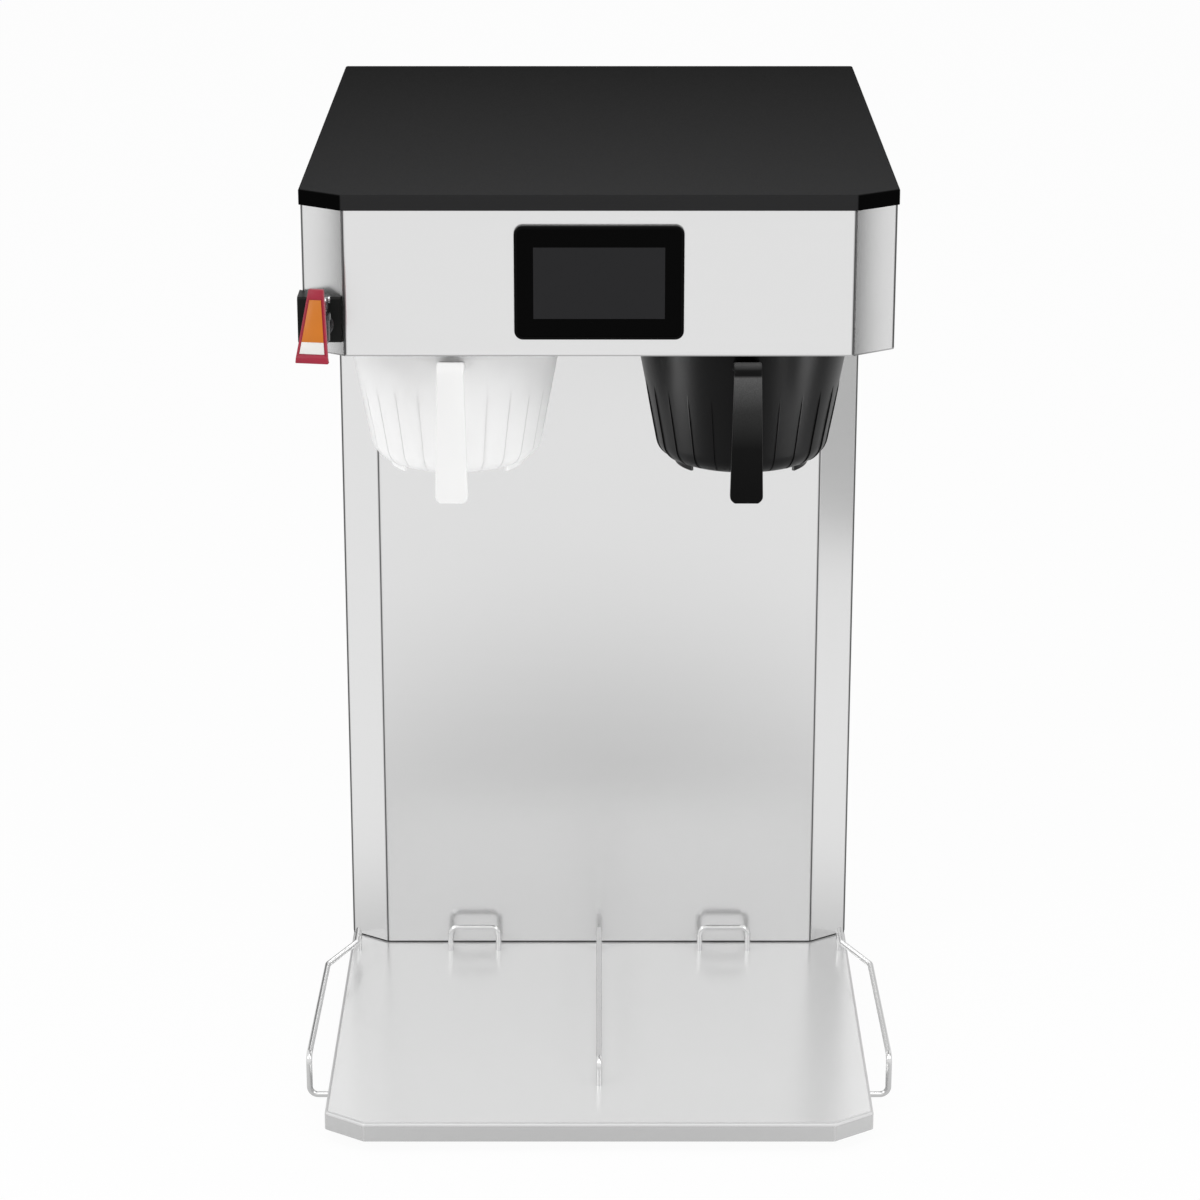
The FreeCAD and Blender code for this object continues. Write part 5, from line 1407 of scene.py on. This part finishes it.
@dataclass
class ReturnSpring:
    """Coil spring inside the faucet, which shortens as the stem lifts."""

    wire: float = 0.6 * MM
    turns: int = 3
    lift: float = 4.785 * MM
    sides: int = 10
    steps: int = 24

    def build(self) -> None:
        """Screw the wire's section round the origin, close its ends and put it in place."""
        low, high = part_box("faucet_spring")
        tall = high[2] - low[2]
        radius = (high[1] - low[1]) / 2 - self.wire
        x, y, _ = box_middle(low, high)
        start = (radius, 0.0, 0.0)
        Bench.clear()
        bpy.ops.mesh.primitive_circle_add(
            vertices=self.sides, radius=self.wire, location=start, rotation=Stand.FACING_FRONT.value
        )
        coil = Bench.open("faucet_return_spring")
        bpy.ops.object.mode_set(mode="OBJECT")
        bpy.ops.object.modifier_add(type="SCREW")
        screw = coil.modifiers[-1]
        screw.screw_offset = (tall - 2 * self.wire) / self.turns
        screw.iterations = self.turns
        screw.steps = screw.render_steps = self.steps
        bpy.ops.object.modifier_apply(modifier=screw.name)
        bpy.ops.object.mode_set(mode="EDIT")
        Bench.pick_all()
        bpy.ops.mesh.fill_holes(sides=self.sides)
        Bench.pick_all()
        Bench.move(x, y, low[2] + self.wire)
        made = Piece("faucet_return_spring", PLATED, Body.HOUSING, ("faucet_spring",)).done()
        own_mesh(made)


@dataclass
class Dressing:
    """Finishes of all solids, those behind a modelled piece too."""

    finishes: Dict[Finish, Sequence[str]] = field(default_factory=lambda: {
        STAINLESS: ("trunk_shell", "hood_floor"),
        HOOD_STEEL: ("hood_shell",),
        TRAY_STEEL: ("base_tray",),
        BACK_STEEL: ("rear_cover",),
        PLAIN_SHEET: ("base_channels", "left_funnel_rails", "right_funnel_rails", "tank_stand"),
        TANK_SHEET: ("water_tank", "tank_cover", "temperature_probe", "level_probe"),
        WIRE: (
            "left_side_guide", "right_side_guide", "centre_divider", "left_server_stop", "right_server_stop",
        ),
        PLATED: ("cover_screws", "pivot_pin", "faucet_stem", "faucet_spring"),
        DARK_CHROME: ("faucet_body", "faucet_bonnet"),
        BRASS: ("inlet_fitting", "faucet_nut", "board_standoffs", "left_spray_head", "right_spray_head"),
        SHEATH: ("heating_elements",),
        FINNED: ("power_supply",),
        LID_BLACK: ("top_lid",),
        BEZEL_BLACK: ("display_bezel",),
        GLASS: ("touch_glass",),
        SCREEN_MODULE: ("lcd_module",),
        FUNNEL_BLACK: ("right_funnel_bowl",),
        HANDLE_BLACK: ("right_funnel_handle",),
        FUNNEL_WHITE: ("left_funnel_bowl",),
        HANDLE_WHITE: ("left_funnel_handle",),
        TRIM_BLACK: (
            "faucet_block", "faucet_wedge", "cable_gland", "switch_housing",
            "power_rocker", "terminal_block",
        ),
        RUBBER: ("rubber_feet",),
        SEAL: ("trunk_gasket",),
        SILICONE: (
            "tank_gasket", "seat_cup", "inlet_tube", "faucet_tube", "left_brew_tube", "right_brew_tube",
        ),
        VALVE_WHITE: ("inlet_valve", "left_brew_valve", "right_brew_valve"),
        LEVER_RED: ("faucet_lever",),
        FIELD_ORANGE: ("lever_band",),
        FIELD_WHITE: ("lever_tag",),
        BOARD: ("control_board",),
    })

    def apply(self) -> None:
        """Give every solid its finish."""
        for finish, names in self.finishes.items():
            for name in names:
                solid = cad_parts[name]
                solid.data.materials.clear()
                solid.data.materials.append(finish.material())
                LOG.info("%s: %s", name, finish.name)


@dataclass
class Studio:
    """Camera, floor, world and lamps."""

    lens: float = 105.44
    shift: float = 0.00075
    eye: Point = (0.0, -3.204275, 1.5208)
    pitch: float = 18.6
    floor_span: float = 60.0
    floor_tone: float = 0.9
    floor_glow: float = 0.95
    # Brightness that mirrored rays see on the floor near the brewer, rising to full by the far reach:
    # painted shade
    near_tone: float = 0.64
    near_reach: float = 0.33
    far_reach: float = 1.35
    sideways_share: float = 2.2
    fill: float = 0.61

    def camera(self) -> None:
        """Set up the camera at the photograph's place."""
        data = bpy.data.cameras.new("camera")
        data.lens = self.lens
        data.sensor_width = 36.0
        data.shift_x = self.shift
        data.clip_end = 100.0
        camera = bpy.data.objects.new("camera", data)
        camera.location = self.eye
        camera.rotation_euler = (math.radians(90.0 - self.pitch), 0.0, 0.0)
        bpy.context.scene.collection.objects.link(camera)
        bpy.context.scene.camera = camera

    def floor(self) -> None:
        """Lay the pale floor, which mirrored rays see darker near the brewer as painted shade."""
        bpy.ops.object.select_all(action="DESELECT")
        bpy.ops.mesh.primitive_plane_add(size=self.floor_span, location=(0.0, 0.0, 0.0))
        floor = bpy.context.object
        floor.name = "floor"
        shading = Shading("floor_white")
        path = shading.node("LightPath").outputs
        seen = shading.work_out("MAXIMUM", path["Is Camera Ray"], path["Is Glossy Ray"])
        seen = shading.work_out("MAXIMUM", seen, path["Is Transmission Ray"])
        share = shading.work_out("MULTIPLY", seen, self.floor_glow)
        shading.set(Base_Color=(self.floor_tone,) * 3, Roughness=0.9, Specular_IOR_Level=0.0)
        # Painted shade round the brewer for mirrored rays; the camera sees the floor at full glow
        spread = (self.sideways_share, 1.0, 1.0)
        ahead = shading.node("Mapping", {"Vector": shading.place, "Scale": spread}).outputs[0]
        away = shading.node("VectorMath", {0: ahead}, operation="LENGTH").outputs["Value"]
        inputs = {"Value": away, "From Min": self.near_reach, "From Max": self.far_reach}
        inputs.update({"To Min": self.near_tone, "To Max": 1.0})
        shade = shading.node("MapRange", inputs, interpolation_type="SMOOTHSTEP").outputs[0]
        level = shading.work_out("MAXIMUM", shade, path["Is Camera Ray"])
        glow = shading.node("Emission", {"Color": (1.0, 1.0, 1.0), "Strength": level}).outputs[0]
        mixed = shading.node("MixShader", {0: share, 1: shading.surface.outputs[0], 2: glow}).outputs[0]
        shading.feed(shading.tree.nodes["Material Output"].inputs["Surface"], mixed)
        floor.data.materials.append(shading.material)

    def world(self) -> None:
        """Fill the room with even white light, white where it is seen or mirrored."""
        world = bpy.data.worlds.new("studio")
        bpy.context.scene.world = world
        world.use_nodes = True
        tree = world.node_tree
        path = tree.nodes.new("ShaderNodeLightPath").outputs
        seen = path["Is Camera Ray"]
        for name in ("Is Glossy Ray", "Is Transmission Ray"):
            either = tree.nodes.new("ShaderNodeMath")
            either.operation = "MAXIMUM"
            tree.links.new(seen, either.inputs[0])
            tree.links.new(path[name], either.inputs[1])
            seen = either.outputs[0]
        level = tree.nodes.new("ShaderNodeMapRange")
        level.inputs["To Min"].default_value = self.fill
        level.inputs["To Max"].default_value = 1.0
        tree.links.new(seen, level.inputs["Value"])
        back = tree.nodes["Background"]
        back.inputs["Color"].default_value = (1.0, 1.0, 1.0, 1.0)
        tree.links.new(level.outputs[0], back.inputs["Strength"])

    def lamp(
        self, name: str, place: Point, aim: Point, size: Tuple[float, float], power: float,
        shines_on: str = "", mirrored: bool = True,
    ) -> None:
        """Hang one soft box.

        Args:
            name: Name of the lamp.
            place: Where it hangs.
            aim: Point that it faces.
            size: Width and height.
            power: Power in watts.
            shines_on: The one piece that mirrors a strip, or nothing for a lamp that lights all.
            mirrored: Whether glossy faces show it.
        """
        data = bpy.data.lights.new(name, "AREA")
        data.shape = "RECTANGLE"
        data.size, data.size_y = size
        data.energy = power
        lamp = bpy.data.objects.new(name, data)
        lamp.location = place
        lamp.rotation_euler = (Vector(aim) - Vector(place)).to_track_quat("-Z", "Y").to_euler()
        lamp.visible_glossy = mirrored
        if shines_on:
            lamp.visible_diffuse = False
            lamp.light_linking.receiver_collection = bpy.data.collections.new(name)
            lamp.light_linking.receiver_collection.objects.link(bpy.data.objects[shines_on])
        bpy.context.scene.collection.objects.link(lamp)

    def flag(
        self, name: str, near: Tuple[float, float], far: Tuple[float, float], tone: float,
        low: float = 0.0, high: float = 2.2,
    ) -> None:
        """Stand a grey card beside the brewer that only mirrored light meets, so bends get a darker line.

        Args:
            name: Name of the card.
            near: One end of its foot, as x and y.
            far: Other end of its foot.
            tone: Brightness of the card.
            low: Height of its lower edge.
            high: Height of its upper edge.
        """
        run = Vector((far[0] - near[0], far[1] - near[1]))
        middle = ((near[0] + far[0]) / 2, (near[1] + far[1]) / 2, (low + high) / 2)
        bpy.ops.object.select_all(action="DESELECT")
        turn = (math.pi / 2, 0.0, math.atan2(run.y, run.x))
        bpy.ops.mesh.primitive_plane_add(size=1.0, location=middle, rotation=turn)
        card = bpy.context.object
        card.name = name
        card.scale = (run.length, high - low, 1.0)
        shading = Shading(name)
        glow = shading.node("Emission", {"Color": (1.0, 1.0, 1.0), "Strength": tone}).outputs[0]
        shading.feed(shading.tree.nodes["Material Output"].inputs["Surface"], glow)
        card.data.materials.append(shading.material)
        card.visible_camera = False
        card.visible_diffuse = False
        card.visible_shadow = False
        card.visible_transmission = False

    def build(self) -> None:
        """Set up everything round the brewer."""
        scene = bpy.context.scene
        scene.view_settings.view_transform = "Standard"
        self.camera()
        self.floor()
        self.world()
        self.lamp("left_soft_box", (-2.0, -1.6, 2.0), (0.0, -0.1, 0.6), (1.2, 1.2), 16.0)
        self.lamp("right_soft_box", (2.0, -1.6, 2.0), (0.0, -0.1, 0.6), (1.2, 1.2), 12.0)
        self.lamp("top_soft_box", (0.0, -1.2, 3.0), (0.0, 0.0, 0.6), (2.0, 1.2), 14.0)
        self.lamp("left_low_box", (-1.2, -0.75, 0.16), (-0.12, -0.17, 0.65), (0.6, 0.3), 2.2, mirrored=False)
        self.lamp("right_low_box", (1.2, -0.75, 0.16), (0.12, -0.17, 0.65), (0.6, 0.3), 4.4, mirrored=False)
        self.lamp("left_strip", (-1.2, -0.45, 0.16), (0.12, -0.17, 0.68), (0.6, 0.3), 16.0, "right_bowl")
        self.lamp("right_strip", (1.2, -0.75, 0.16), (0.12, -0.17, 0.68), (0.9, 0.4), 16.0, "right_bowl")
        self.flag("left_flag", (-0.4076, -0.3421), (-0.388, -0.46), 0.05, 0.55, 0.95)
        self.flag("right_flag", (0.4044, -0.3365), (0.385, -0.454), 0.05, 0.55, 0.95)
        self.flag("right_card", (0.90, -0.25), (0.90, 0.10), 0.55, 0.25)
        self.flag("left_rear_flag", (-0.62, 0.55), (-0.40, 0.95), 0.25)
        self.flag("right_rear_flag", (0.62, 0.55), (0.40, 0.95), 0.7)


def main() -> None:
    """Build the brewer's looks in order."""
    logging.basicConfig(level=logging.INFO, format="%(name)s: %(message)s")
    bpy.ops.object.select_all(action="DESELECT")
    Dressing().apply()
    Funnel("left", FUNNEL_WHITE, HANDLE_WHITE, Body.LEFT_FUNNEL, -127.5 * MM, rib_height=0.35 * MM).build()
    Funnel("right", FUNNEL_BLACK, HANDLE_BLACK, Body.RIGHT_FUNNEL, 127.5 * MM).build()
    Lever().build()
    RearFittings().build()
    ReturnSpring().build()
    Studio().build()


if __name__ == "__main__":
    main()
